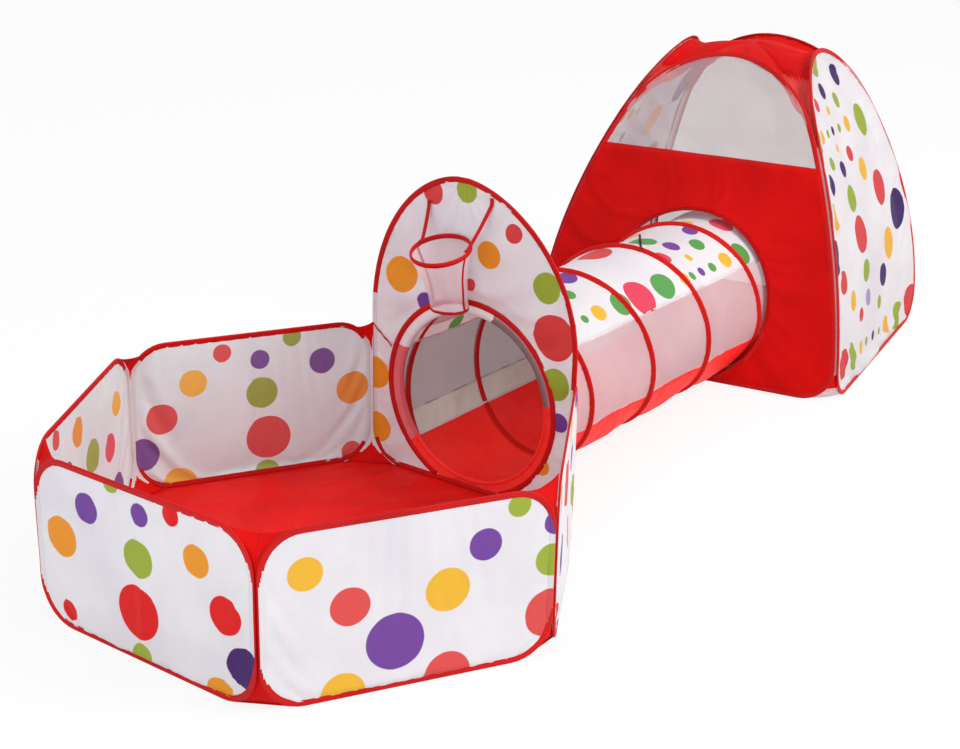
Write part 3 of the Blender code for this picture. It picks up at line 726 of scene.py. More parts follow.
# dots on each panel, by ink: place across, place up, radius
wallDots = {
    "wall_1": {
        "red": [(0.076, 0.328, 0.0223), (0.227, 0.181, 0.0383), (-0.033, 0.098, 0.0557)],
        "purple": [(-0.016, 0.301, 0.0239), (0.277, 0.095, 0.0409), (-0.172, 0.279, 0.0323)],
        "yellow": [(0.149, 0.262, 0.0333), (0.189, 0.011, 0.0406)],
        "lime": [(-0.019, 0.216, 0.0395), (-0.029, 0.005, 0.0314), (-0.097, 0.348, 0.0228)],
        "orange": [(-0.249, 0.198, 0.0422)],
        "coral": [(-0.245, 0.028, 0.026)],
    },
    "wall_2": {
        "yellow": [(-0.209, 0.268, 0.0285), (0.17, 0.13, 0.044)],
        "rose": [(-0.151, 0.184, 0.0331)],
        "lime": [(-0.04, 0.21, 0.0395), (0.25, 0.29, 0.034)],
        "purple": [(-0.19, 0.06, 0.043), (0.11, 0.235, 0.025)],
        "orange": [(0.04, 0.3, 0.033)],
        "red": [(0, 0.09, 0.056), (0.17, 0.335, 0.021)],
        "coral": [(0.23, 0.04, 0.036)],
    },
    "wall_3": {
        "lime": [(-0.073, 0.366, 0.0222), (-0.006, 0.226, 0.0396), (-0.002, 0.018, 0.0285)],
        "purple": [(-0.148, 0.289, 0.0322), (0.004, 0.32, 0.0236)],
        "bright": [(0.089, 0.345, 0.0218), (-0.012, 0.11, 0.0568), (0.223, 0.182, 0.0395),
            (-0.216, 0.044, 0.0234)],
        "orange": [(-0.227, 0.204, 0.0431), (0.152, 0.271, 0.0332), (0.204, 0.014, 0.0323),
            (0.014, 0.381, 0.0107)],
        "navy": [(0.27, 0.086, 0.0435)],
    },
    "wall_4": {
        "yellow": [(-0.208, 0.275, 0.0344), (0.074, 0.19, 0.0456), (-0.138, 0.01, 0.0447)],
        "coral": [(-0.122, 0.192, 0.0399), (0.291, 0.097, 0.0531), (0.073, 0.009, 0.0486)],
        "purple": [(-0.033, 0.102, 0.059), (0.151, 0.271, 0.0336), (0.298, 0.292, 0.0247)],
        "lime": [(0.22, 0.341, 0.0241), (0.293, 0.213, 0.0348)],
        "red": [(-0.285, 0.342, 0.0191)],
    },
    "wall_5": {
        "lime": [(-0.21, 0.29, 0.034), (0.24, 0.11, 0.04)],
        "purple": [(-0.12, 0.13, 0.044), (0.17, 0.23, 0.034), (0.26, 0.33, 0.024)],
        "coral": [(-0.02, 0.25, 0.05)],
        "yellow": [(0.09, 0.33, 0.032)],
        "orange": [(0.06, 0.1, 0.042)],
        "red": [(-0.25, 0.05, 0.036), (0.19, 0.03, 0.022)],
    },
    "hoop_wall": {
        "orange": [(0.211, 0.503, 0.044), (-0.047, 0.603, 0.0329), (-0.214, 0.118, 0.0207),
            (0.289, 0.234, 0.0413), (0.283, 0.09, 0.0399)],
        "red": [(-0.115, 0.665, 0.0227), (-0.234, 0.442, 0.0558), (0.117, 0.721, 0.0289),
            (0.002, 0.521, 0.0157)],
        "lime": [(-0.21, 0.555, 0.0363), (-0.242, 0.33, 0.0387), (0.019, 0.742, 0.0294)],
        "purple": [(-0.257, 0.24, 0.0234), (0.137, 0.448, 0.0242)],
    },
}
# the corner each wall starts from, how far it bows outwards, and how loose its cloth is
pitWalls = {
    "wall_1": (0, 0.005, 0.012), "wall_2": (1, 0.005, 0.010), "wall_3": (2, 0.005, 0.007),
    "wall_4": (3, 0.003, 0.003), "wall_5": (4, 0.005, 0.008), "hoop_wall": (5, 0.002, 0.010),
}


def addPitWall(name, first, bow, slack):
    tall = name == "hoop_wall"
    body, seed, columns = ("pit", 25.0, 84) if tall else (name, first * 3.7 + 1, 72)
    rows, place = pitWallRows(tall), wallPlace(first, tall)
    inner = insetRows(rows, tuck)
    half = max(w for w, _ in inner)
    low, high = inner[0][1], inner[-1][1]
    relief = panelRelief(half, low, high, bow, seed)
    cloth = clothMaterial(name + " dotted cloth", whiteLook, wallDots[name])
    # the pit walls' inside faces take that cool painted tint; the hoop wall's inside is its own cloth
    coolInside = cloth if tall else clothMaterial(name + " lining", coolInsideLook, wallDots[name])
    area = areaInside(inner)
    port = (axisHeight, hoopWall["port"]) if tall else None
    if tall:
        steps = [low + 0.001 * k for k in range(480)]
        area -= sum(2 * math.sqrt(max(port[1] ** 2 - (z - port[0]) ** 2, 0)) * 0.001 for z in steps)
    panel = addPanel(
        name + "_cloth", inner, place, relief, [cloth, coolInside], columns, port, slack=slack,
        shift=leanAt if tall else None, backSlot=1,
    )
    settle(panel, body, [name + "_fabric"])
    tape = addSleeve(name + "_tape", rows, place, seed, (redTape, cloth, coolInside))
    edge = hoopWall["whiteTo"] if tall else pit["wallHeight"] - pit["corner"] + redEdge["start"]
    showCloth(tape, rows, place, edge)
    settle(tape, body, [name + "_sleeve"])
    settle(addStitches(name + "_stitches", rows, place, (pit["corner"] - 0.01, edge)), body)


def addSeamTape():
    # a short tape across the inside of the hoop wall, beside the top of the next wall
    place = wallPlace(5, True)
    across = (place(0, 1) - place(0, 0)).normalized()
    inward = (place(0, 0, -1) - place(0, 0)).normalized()
    frames = []
    for k in range(21):
        w, z = (a + (b - a) * k / 20 for a, b in zip(*hoopWall["seamTape"]))
        frames.append((place(w, z, -0.0042 + 0.001 * math.sin(k * 0.9)), across, inward))
    tape = sweepTape("hoop_wall_seam_tape", frames, roundSection(0.0062, 0.0012, 8), False, 0.0004, 9.0)
    settle(tape, "pit")


for name, wall in pitWalls.items():
    addPitWall(name, *wall)
addSeamTape()
print("pit walls made")

floorSheet = {
    "level": 0.0014, "fold": 0.009, "overlap": 0.03, "share": 0.2, "fan": 0.30, "cut": 0.066, "fanShare": 0.1,
}
web = {
    "top": 0.366, "overlap": 0.004, "dip": 0.010, "inside": 0.0014, "rows": 72, "footRows": 4, "columns": 16,
    "point": 0.285, "dipFrom": 0.86, "straightBy": 0.022, "shoulder": 0.03, "footTop": 0.05,
    "footSlope": 0.03, "held": 0.03, "thickness": 0.0007,
    "bottoms": [0.003, 0.003, 0.012, 0.016, 0.036, 0.003],
}
# the two bodies that each web joins; corner 4's opens down its middle
webBodies = {
    0: ("pit", "wall_1"), 1: ("wall_1", "wall_2"), 2: ("wall_2", "wall_3"), 3: ("wall_3", "wall_4"),
    4: ("wall_4", "wall_5"), 5: ("wall_5", "pit"),
}


def loopSetback(height, tall):
    edge = height if tall or height < pit["wallHeight"] / 2 else pit["wallHeight"] - height
    rise = max(pit["corner"] - edge, 0)
    return pit["seam"] + pit["corner"] - math.sqrt(pit["corner"] ** 2 - rise**2)


def inwardAt(corner):
    return (Vector((pit["middleX"], 0, 0)) - corner).normalized()


def webShape(k, low, high):
    corner = pitCorner(k)
    middle = inwardAt(corner)
    arms = [(pitCorner(k + way) - corner).normalized() for way in (-1, 1)]
    bottom, n, steps = web["bottoms"][k], web["columns"] + 1, web["footRows"]
    shares = [low + (high - low) * c / web["columns"] for c in range(n)]
    points, flat = [], []
    for r in range(web["rows"] + 1):
        part = r / web["rows"]
        height = bottom + (web["top"] - bottom) * part
        # the hoop wall stands between corners 5 and 0
        backs = [loopSetback(height, tall) + web["overlap"] for tall in (k == 0, k == 5)]
        tips = [corner + arm * back + middle * web["inside"] for arm, back in zip(arms, backs)]
        fold, chord = corner + middle * web["inside"], (tips[0] + tips[1]) / 2
        # the cloth is drawn straight where the round corners of the loops part
        bend = fold.lerp(chord, min(0.1 + (fold - chord).length / web["straightBy"], 1.0))
        for s in shares:
            at = tips[0].lerp(bend, s).lerp(bend.lerp(tips[1], s), s)
            hang = web["dip"] * 4 * s * (1 - s) * smoothStep((part - web["dipFrom"]) / (1 - web["dipFrom"]))
            wave = noiseAt(at.x * 40, at.y * 40, height * 26 + k) * 0.0012
            points.append(at + up * (height - hang) + middle * wave)
            flat.append((s, height))
    # its foot runs in to the cut corner of the floor
    feet = [corner + arm * floorSheet["cut"] + middle * 0.002 + up * 0.0018 for arm in arms]
    edge = [feet[0].lerp(feet[1], s) for s in shares]
    points = [edge[c].lerp(points[c], r / steps) for r in range(steps) for c in range(n)] + points
    flat = [(s, 0.0) for s in shares] * steps + flat
    faces = gridFaces(web["rows"] + 1 + steps, n)
    a, b, _, d = (points[i] for i in faces[0])
    if (b - a).cross(d - a).dot(middle) > 0:
        faces = [face[::-1] for face in faces]
    return points, faces, flat


def addWeb(name, k, low=0.0, high=1.0):
    # red outside; white inside with the cool painted tint, below a red point and above the floor
    points, faces, flat = webShape(k, low, high)
    piece = addMesh(name, points, faces, flat, [redCloth, plainCoolInside, redCloth], None, web["thickness"], 1)
    for polygon in piece.data.polygons:
        s, z = (sum(flat[i][j] for i in polygon.vertices) / 4 for j in (0, 1))
        fromFold = abs(2 * s - 1)
        point = web["point"] + (web["top"] - web["shoulder"] - web["point"]) * fromFold
        if z > point or z < web["footTop"] - web["footSlope"] * fromFold:
            polygon.material_index = 2
    return piece


def buildWebs():
    for k, (before, after) in webBodies.items():
        node = f"corner_web_{k + 1}"
        if k == 3:
            parts = [addWeb("corner_4_web_left", k, 0.0, 0.5), addWeb("corner_4_web_right", k, 0.5, 1.0)]
            settle(parts[0], before, [node])
            settle(parts[1], after)
        else:
            parts = [addWeb(f"corner_{k + 1}_web", k)]
            corner = pitCorner(k)
            ends = [corner + (pitCorner(k + way) - corner).normalized() * web["held"] for way in (-1, 1)]
            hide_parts(node)
            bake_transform(parts[0], before, after, tuple(ends[0]), tuple(ends[1]))
        height = web["top"] - web["bottoms"][k]
        for piece in parts:
            areaOf(piece) / height


def floorRelief(seed):

    def relief(w, z):
        a = noiseAt(w * 5 + seed, z * 5, seed)
        ridge = 1 - abs(noiseAt(w * 9 + z * 4, z * 7 - w * 3, seed + 7)) * 2.2
        return 0.35 * floorSheet["fold"] * (a + 1) + 0.5 * floorSheet["fold"] * max(ridge, 0) ** 4

    return relief


def buildFloorHalves():
    depth = pit["side"] * math.sqrt(3) / 2
    farX = pit["middleX"] - depth

    def halfWidth(z):
        # the hexagon, with its corners cut off where the round corners of the loops leave the ground
        cut = floorSheet["cut"]
        full = pit["side"] - abs(depth - z) * (pit["side"] / 2) / depth
        return min(full, pit["side"] / 2 - cut + z * math.sqrt(3), pit["side"] - cut / 2) + 0.0015

    reach = depth + floorSheet["overlap"]
    start = -0.0012  # just past the loops' middle
    rows = [(halfWidth(z), z) for z in [start + (reach - start) * k / 70 for k in range(71)]]

    def hoopPlace(w, z, n=0.0):
        return Vector((wallX - z, w, floorSheet["level"] + n))

    def frontPlace(w, z, n=0.0):
        return Vector((farX + z, -w, floorSheet["level"] - 0.0006 + n))

    halves = {
        "pit_floor_hoop_half": (hoopPlace, "pit", wallX),
        "pit_floor_front_half": (frontPlace, "wall_3", farX),
    }
    shape = floorRelief(5.0)
    for name, (place, body, anchor) in halves.items():

        def relief(w, z, place=place):
            # both halves follow one surface, so they lie on each other where they overlap
            at = place(w, z)
            return shape(at.x, at.y) * smoothStep(min(z, (halfWidth(z) - abs(w)) * 0.87) / 0.03)

        sheet = addPanel(name, rows, place, relief, [floorCloth], 120)
        settle(sheet, body, ["pit_floor"] if body == "pit" else ())
        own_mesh(sheet)
        areaInside(rows)


# the corner, the way from it along the wall, and the height of each half
floorCorners = {
    "wall_1": (1, -1, 0.0008), "wall_2": (1, 1, 0.0004), "wall_4": (4, -1, 0.0008), "wall_5": (4, 1, 0.0004),
}


def buildFloorCorners(rows=20, columns=15):
    # the floor's two outer corners: a half on each wall, pressed to it as the pit folds
    for body, (k, way, level) in floorCorners.items():
        corner = pitCorner(k)
        inward = inwardAt(corner)
        along = (pitCorner(k + way) - corner).normalized()
        across = (inward - along * inward.dot(along)).normalized()
        points = []
        for r in range(rows):
            radius = 0.004 + floorSheet["fan"] * r / (rows - 1)
            for c in range(columns):
                turn = math.radians(1 + 60 * c / (columns - 1))
                at = corner + (along * math.cos(turn) + across * math.sin(turn)) * radius + up * level
                points.append(at + inward * max(floorSheet["cut"] / 2 - (at - corner).dot(inward), 0))
        faces = gridFaces(rows, columns)
        if way > 0:
            faces = [face[::-1] for face in faces]
        flat = [(at.x, at.y) for at in points]
        half = addMesh(f"pit_floor_{body}_corner", points, faces, flat, [floorCloth], thickness=0.0003)
        settle(half, body)
        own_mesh(half)


buildWebs()
buildFloorHalves()
buildFloorCorners()
binding = addBinding("hoop_wall_port_tape", hoopWall["port"], wallPlace(5), 23.5)
settle(binding, "pit", ["hoop_wall_port_binding"])
print("webs and floor made")

hoop = {
    "radius": 0.0725, "height": 0.632, "toSide": 0.032, "droop": 15.0, "gap": 0.004, "netBottom": 0.474,
    "netRadius": 0.044, "netOut": 0.054, "netToSide": 0.020, "netDrop": 0.17, "flare": 2.2, "keep": 0.25,
}
# on which side of the hoop each strap ends, and where it leaves the wall
hoopStraps = {"hoop_strap_left": (1, 0.127, 0.700), "hoop_strap_right": (-1, -0.053, 0.735)}
strap = {"flat": 0.016, "sag": 0.004, "behind": 0.018, "above": 0.0068, "inset": 0.007, "tail": 0.012}


droop = math.radians(hoop["droop"])
hoopAhead = Vector((-math.cos(droop), 0, -math.sin(droop)))
hoopUp = Vector((-math.sin(droop), 0, math.cos(droop)))
hoopSide, awayFromWall = Vector((0, 1, 0)), Vector((-1, 0, 0))
hoopHinge = Vector((wallX - hoop["gap"], hoop["toSide"], hoop["height"]))
hoopCentre = hoopHinge + hoopAhead * (hoop["radius"] + 0.0004)


def settleSoft(piece, nodes=()):
    settle(piece, "hoop", nodes)
    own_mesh(piece)


def hoopOuts(ahead, steps=72):
    turns = [2 * math.pi * k / steps for k in range(steps)]
    return [ahead * math.cos(a) + hoopSide * math.sin(a) for a in turns]


def buildHoopRing():
    frames = [(hoopCentre + out * (hoop["radius"] - 0.003), out, hoopUp) for out in hoopOuts(hoopAhead)]
    ring = sweepTape("hoop_ring_tape", frames, roundSection(0.0066, 0.0125, 14), True, 0.0005, 3.0)
    settle(ring, "hoop", ["hoop_sleeve"])


def buildHoopNet(rows=30, columns=72):
    top = hoopCentre - hoopUp * 0.003
    bottom = Vector((wallX - hoop["netOut"], hoop["netToSide"], hoop["netBottom"]))
    topRadius = hoop["radius"] - 0.0035
    points, flat = [], []
    for r in range(rows + 1):
        part = r / rows
        middle = top.lerp(bottom, part)
        ahead = hoopAhead.lerp(awayFromWall, part).normalized()
        radius = hoop["netRadius"] + (topRadius - hoop["netRadius"]) * (1 - part) ** hoop["flare"]
        for c in range(columns):
            a = 2 * math.pi * c / columns
            pleat = 0.0014 * math.sin(a * 9 + part * 2) * math.sin(math.pi * min(part * 1.4, 1.0)) ** 0.5
            ripple = noiseAt(math.cos(a) * 2, math.sin(a) * 2, part * 4) * 0.0025 * part
            out = ahead * math.cos(a) + hoopSide * math.sin(a)
            points.append(middle + out * (radius + pleat + ripple))
            flat.append((radius * a, hoop["netDrop"] * part))
    net = addMesh("hoop_net_cloth", points, gridFaces(rows + 1, columns, False, True), flat, [hoopNet])
    settleSoft(net, ["hoop_net"])
    frames = [(bottom + out * (hoop["netRadius"] + 0.0004), out, up) for out in hoopOuts(awayFromWall)]
    settleSoft(sweepTape("hoop_net_hem", frames, roundSection(0.0018, 0.0075, 8), True, 0.0008, 6.0))
    for label, column in {"left": columns // 4, "right": 3 * columns // 4}.items():
        seam = points[column::columns]
        out = (seam[0] - hoopCentre).normalized()
        frames = [(at + out * 0.0008, hoopAhead, out) for at in seam]
        section = roundSection(0.008, 0.0014, 8)
        settleSoft(sweepTape(f"hoop_net_{label}_tape", frames, section, False, 0.0004, 7.0))


def buildHoopStrap(name, way, across, height):
    top = Vector((wallX + pit["offset"] - 0.0018, across, height))
    bend = top - up * strap["flat"]
    low = hoopCentre - hoopAhead * strap["behind"] + hoopUp * strap["above"]
    low += hoopSide * (way * (hoop["radius"] - strap["inset"]))
    route = [top.lerp(bend, k / 5) for k in range(5)]
    for k in range(25):
        route.append(bend.lerp(low, k / 24) - up * (strap["sag"] * math.sin(math.pi * k / 24)))
    route.append(low + hoopAhead * strap["tail"] - hoopUp * 0.0006)
    frames = []
    for k, at in enumerate(route):
        along = (route[min(k + 1, len(route) - 1)] - route[max(k - 1, 0)]).normalized()
        frames.append((at, hoopSide, hoopSide.cross(along).normalized()))
    piece = sweepTape(name + "_tape", frames, roundSection(0.0105, 0.0014, 10), False, 0.0003, 8.0 + way)
    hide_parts(name)
    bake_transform(piece)


buildHoopRing()
buildHoopNet()
for name, ends in hoopStraps.items():
    buildHoopStrap(name, *ends)
print("hoop made")

# angles run round the tunnel from its right side, seen from the pit, over the top
tunnel = {
    "radius": 0.2315, "skin": 0.2206, "start": 0.0125, "end": 1.180, "pitch": 0.285, "crossing": 0.193,
    "first": -225.0, "last": 1245.0, "coverEdge": 35.0, "floorEdge": -24.0, "netStart": 157.0,
    "litBandEnd": 220.0, "ring": 0.2192, "keep": 0.2,
}
tie = {"start": 0.690, "length": 0.20, "angle": 78, "turn": 34, "slant": 0.59, "steps": 40, "tail": 8}
collar = {"depth": 0.006, "behind": 0.003, "ripple": 0.0009, "ground": 0.003, "flat": 0.024}
tunnelDots = {
    "purple": [(0.376, -0.017, 0.0296), (0.219, -0.157, 0.0133), (0.835, -0.055, 0.026),
        (0.833, -0.172, 0.0143), (0.965, -0.035, 0.0229), (0.56, 0.17, 0.02)],
    "green": [(0.311, -0.071, 0.0216), (0.279, -0.158, 0.0121), (0.433, -0.162, 0.0341),
        (0.641, -0.164, 0.0404), (0.804, 0.019, 0.0397), (0.92, -0.089, 0.0239), (0.779, -0.173, 0.0134),
        (0.892, -0.173, 0.0149), (1.045, -0.172, 0.0349), (0.2, 0.24, 0.0261), (0.47, 0.14, 0.034),
        (1, 0.16, 0.03)],
    "yellow": [(0.34, -0.158, 0.0237), (0.833, -0.118, 0.0138), (0.962, -0.17, 0.0235),
        (0.735, -0.173, 0.0215), (1.022, 0.027, 0.0339), (0.1, -0.12, 0.03), (0.36, 0.09, 0.025),
        (0.9, 0.12, 0.024)],
    "rose": [(0.526, -0.166, 0.0545), (0.741, -0.087, 0.0246), (0.16, 0.03, 0.04), (0.76, 0.14, 0.03),
        (1.1, -0.06, 0.036)],
    "red": [(0.622, 0.059, 0.0481)],
    "orange": [(-0.036, 0.218, 0.0383)],
}
dottedTunnel = clothMaterial("tunnel dotted cloth", whiteLook, tunnelDots)
roundTunnel = [plainWhite, pinkTape, litTunnelFloor, shadedNet]


def aroundTunnel(angle):
    # which cloth of roundTunnel the near ring and the collar show at an angle
    angle %= 360
    if 75 <= angle <= tunnel["netStart"]:
        return 0
    if tunnel["litBandEnd"] <= angle or angle <= 8:
        return 2
    return 1 if 90 < angle < 270 else 3


def buildCollar(rows=8, columns=160):
    # loose cloth between the edge of the port and the tunnel's first ring
    points, flat = [], []
    for r in range(rows + 1):
        s = r / rows
        radius = tunnel["ring"] - 0.003 + (hoopWall["port"] - tunnel["ring"] + 0.001) * s
        for c in range(columns):
            a = 2 * math.pi * c / columns
            ripple = (math.sin(a * 46) + math.sin(a * 29 + 1.3)) * collar["ripple"] * math.sin(math.pi * s)
            x = wallX + tunnel["start"] - collar["behind"] - collar["depth"] * s + ripple
            z = max(axisHeight + radius * math.sin(a), collar["ground"])
            points.append(Vector((x, -radius * math.cos(a), z)))
            flat.append((radius * a, s * 0.02))

    def pick(polygon):
        return aroundTunnel(math.degrees(2 * math.pi * (polygon.index % columns + 0.5) / columns))

    faces = gridFaces(rows + 1, columns, False, True)
    piece = addMesh("tunnel_collar_cloth", points, faces, flat, roundTunnel, pick)
    settle(piece, "pit", ())


def outAt(angle):
    a = math.radians(angle)
    return Vector((0, -math.cos(a), math.sin(a)))


def tunnelPoint(radius, angle, x):
    a = math.radians(angle)
    return Vector((x, -radius * math.cos(a), axisHeight + radius * math.sin(a)))


def settleTunnel(piece, nodes=()):
    settle(piece, "pit", nodes)
    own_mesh(piece)


def hoopsAt(angle):
    # where the coil and the two rings cross a line along the tunnel
    turn = (-angle) % 360
    lines = [tunnel["start"], tunnel["end"]]
    while turn > tunnel["first"]:
        turn -= 360
    while turn <= tunnel["last"]:
        if turn >= tunnel["first"]:
            lines.append(tunnel["crossing"] + tunnel["pitch"] * turn / 360)
        turn += 360
    return sorted(lines)


def hangShare(angle, x):
    lines = hoopsAt(angle)
    for a, b in zip(lines, lines[1:]):
        if a <= x <= b:
            part = (x - a) / max(b - a, 1e-6)
            return 4 * part * (1 - part) * min((b - a) / tunnel["pitch"], 1.0) ** 2
    return 0.0


def hangOver(angle):
    return -0.010 * max(math.sin(math.radians(angle)), 0) - 0.002


def hangBeside(angle):
    return -0.006


def hangUnder(angle):
    lowest = math.sin(math.radians(tunnel["floorEdge"]))
    return 0.024 * max((-math.sin(math.radians(angle)) + lowest) / (1 + lowest), 0) - 0.006


def addSkin(name, node, edges, materials, slot, hang, seed, widened=0, creased=1.0, bandFrom=999):
    # past the angle bandFrom the skin is of its second material
    along = 168
    first, last = edges[0] - widened, edges[1] + widened
    low, high = tunnel["start"] + 0.001, tunnel["end"] + 0.005
    across = max(8, round((last - first) / 4))
    points, flat = [], []
    for r in range(along + 1):
        x = low + (high - low) * r / along
        for c in range(across + 1):
            angle = first + (last - first) * c / across
            share = hangShare(angle, x)
            wave = noiseAt(x * 14, angle * 0.06, seed) * 0.0022
            crease = noiseAt(x * 30 + angle * 0.05, angle * 0.12, seed + 5) * 0.0012 * creased
            radius = tunnel["skin"] + 0.0014 + hang(angle) * share + (wave + crease) * share**0.5
            at = tunnelPoint(radius, angle, wallX + x)
            at.z = max(at.z, 0.0012)
            points.append(at)
            flat.append((x, -tunnel["skin"] * math.radians(90 - angle)))

    def pick(polygon):
        return int(first + (last - first) * (polygon.index % across + 0.5) / across > bandFrom)

    thickness = 0.0 if slot == "pale_mesh" else 0.0005
    skin = addMesh(name, points, gridFaces(along + 1, across + 1), flat, materials, pick, thickness)
    settleTunnel(skin, [node])


def addCoil(name, node, section, material, steps):
    n = len(section)
    coil = addObject(name, [(-a, b, 0) for a, b in section], [(k, (k + 1) % n) for k in range(n)])
    turns = (tunnel["last"] - tunnel["first"]) / 360
    sizes = {"Radius": tunnel["radius"], "Turns": turns, "Length": tunnel["pitch"] * turns, "Steps": steps}
    runTree(coil, coilTree, {**sizes, "Tape": material})
    origin = wallX + tunnel["crossing"] + tunnel["pitch"] * tunnel["first"] / 360
    half = math.sqrt(0.5)
    for vertex in coil.data.vertices:
        x, y, z = vertex.co
        vertex.co = (origin + z, half * (x - y), axisHeight - half * (x + y))
    step = 2 * math.pi * tunnel["radius"] / steps
    setFlat(solidOutwards(coil), lambda i: (i // n * step, section[i % n][0] + abs(section[i % n][1])))
    settleTunnel(coil, [node])


def addHem(name, angle, hang, steps=240):
    a, frames = math.radians(angle), []
    for k in range(steps + 1):
        x = tunnel["start"] + (tunnel["end"] - tunnel["start"]) * k / steps
        radius = tunnel["skin"] - 0.0002 + hang(angle) * hangShare(angle, x)
        at = tunnelPoint(radius, angle, wallX + x)
        frames.append((at, Vector((0, math.sin(a), math.cos(a))), outAt(angle)))
    hem = sweepTape(name, frames, roundSection(0.007, 0.0016, 10), False, 0.0004, 30.0, [plainWhite])
    settleTunnel(hem, ())


def addTie():
    # black tie on the top of the tunnel, sewn to the coil's tape
    frames = []
    for k in range(tie["steps"] + 1):
        part = k / tie["steps"]
        x, angle = tie["start"] + tie["length"] * part, tie["angle"] + tie["turn"] * part
        lift = 0.0020 - 0.010 * hangShare(angle, x) + 0.0105 * smoothStep((tie["tail"] - k) / tie["tail"])
        a, out, slant = math.radians(angle), outAt(angle), tie["slant"] * tunnel["skin"]
        ahead = Vector((tie["length"], slant * math.sin(a), slant * math.cos(a)))
        at = tunnelPoint(tunnel["skin"] + lift, angle, wallX + x)
        frames.append((at, ahead.cross(out).normalized(), out))
    section = roundSection(0.0055, 0.0014, 8)
    settleTunnel(sweepTape("tunnel_tie", frames, section, False, 0.0004, 33.0, [blackTape]), ())


def addTunnelRing(name, key, body, steps=120):
    centre = Vector((wallX + tunnel[key], 0, axisHeight))
    outs = [outAt(360 * k / steps) for k in range(steps)]
    frames = [(centre + out * (tunnel["ring"] - 0.0053), out, Vector((1, 0, 0))) for out in outs]
    tape = sweepTape(f"tunnel_{name}_ring_tape", frames, roundSection(0.0106, 0.0112, 14), True, 0.0006, 20.0)
    if name == "near":
        # the first ring is sewn in under the tunnel's own cloths
        tape.data.materials.clear()
        for material in roundTunnel:
            tape.data.materials.append(material)
        for polygon in tape.data.polygons:
            y, z = polygon.center.y, polygon.center.z - axisHeight
            polygon.material_index = aroundTunnel(math.degrees(math.atan2(z, -y)))
    settle(tape, body, [f"tunnel_{name}_ring_sleeve"])


def buildTunnel():
    edge, foot, net, band = (tunnel[key] for key in ("coverEdge", "floorEdge", "netStart", "litBandEnd"))
    addSkin(
        "tunnel_cover_cloth", "tunnel_cover", (edge, 180 - edge), [dottedTunnel], "white_cloth", hangOver,
        11.0, widened=0.6,
    )
    addSkin(
        "tunnel_right_net", "tunnel_mesh_right", (foot, edge), [sideNet], "pale_mesh", hangBeside, 12.0,
    )
    addSkin(
        "tunnel_left_net", "tunnel_mesh_left", (180 - edge, 180 - foot), [dottedTunnel, farShadedNet], "pale_mesh",
        hangBeside, 13.0, bandFrom=net,
    )
    # on the left, from the net's foot up to the band's end, the floor cloth is the painted light band
    addSkin(
        "tunnel_floor_cloth", "tunnel_floor", (-180 - foot, foot), [paintedLightBand, litTunnelFloor], "red_cloth",
        hangUnder, 14.0, widened=0.6, creased=3.0, bandFrom=band - 360,
    )
    addHem("tunnel_right_upper_hem", edge, hangBeside)
    addHem("tunnel_right_lower_hem", foot, hangBeside)
    addHem("tunnel_left_upper_hem", net, hangBeside)
    addHem("tunnel_left_lower_hem", band, hangUnder)
    addTie()
    addCoil("tunnel_coil_tape", "tunnel_coil_sleeve", coilSection, coilTape, 60)
    wireSection = [(a - 0.0085, b) for a, b in roundSection(0.0026, 0.0026, 6)]
    addCoil("tunnel_coil_steel", "tunnel_coil_wire", wireSection, springSteel, 48)
    addTunnelRing("near", "start", "pit")
    addTunnelRing("far", "end", "tunnel_end")
    buildCollar()


buildTunnel()
print("tunnel made")

tent = {
    "centre": (0.993665, 0.0751, 0.0), "turn": 9.5, "base": 0.455, "drawIn": 0.265, "height": 0.892,
    "corner": 0.100, "archStart": 0.600, "archPower": 4.5, "offset": 0.0045, "seam": 0.0014, "window": 0.618,
    "roofTop": 0.912, "roofEdge": 0.665, "port": 0.244, "sheerBelow": 0.832, "bow": 0.004, "rough": 0.0022,
    "slack": 0.007, "roofFlat": 0.75, "roofSlack": 0.006,
}
cornerWeb = {
    "low": 0.003, "high": 0.675, "flat": 0.68, "rows": 64, "columns": 11, "redLow": 0.038, "redHigh": 0.075,
}
tentCentre = Vector(tent["centre"])
tentTurn = Matrix.Rotation(math.radians(tent["turn"]), 3, "Z")
tentSides = {
    "tent_front": Vector((-1, 0, 0)), "tent_right": Vector((0, -1, 0)), "tent_back": Vector((1, 0, 0)),
    "tent_left": Vector((0, 1, 0)),
}
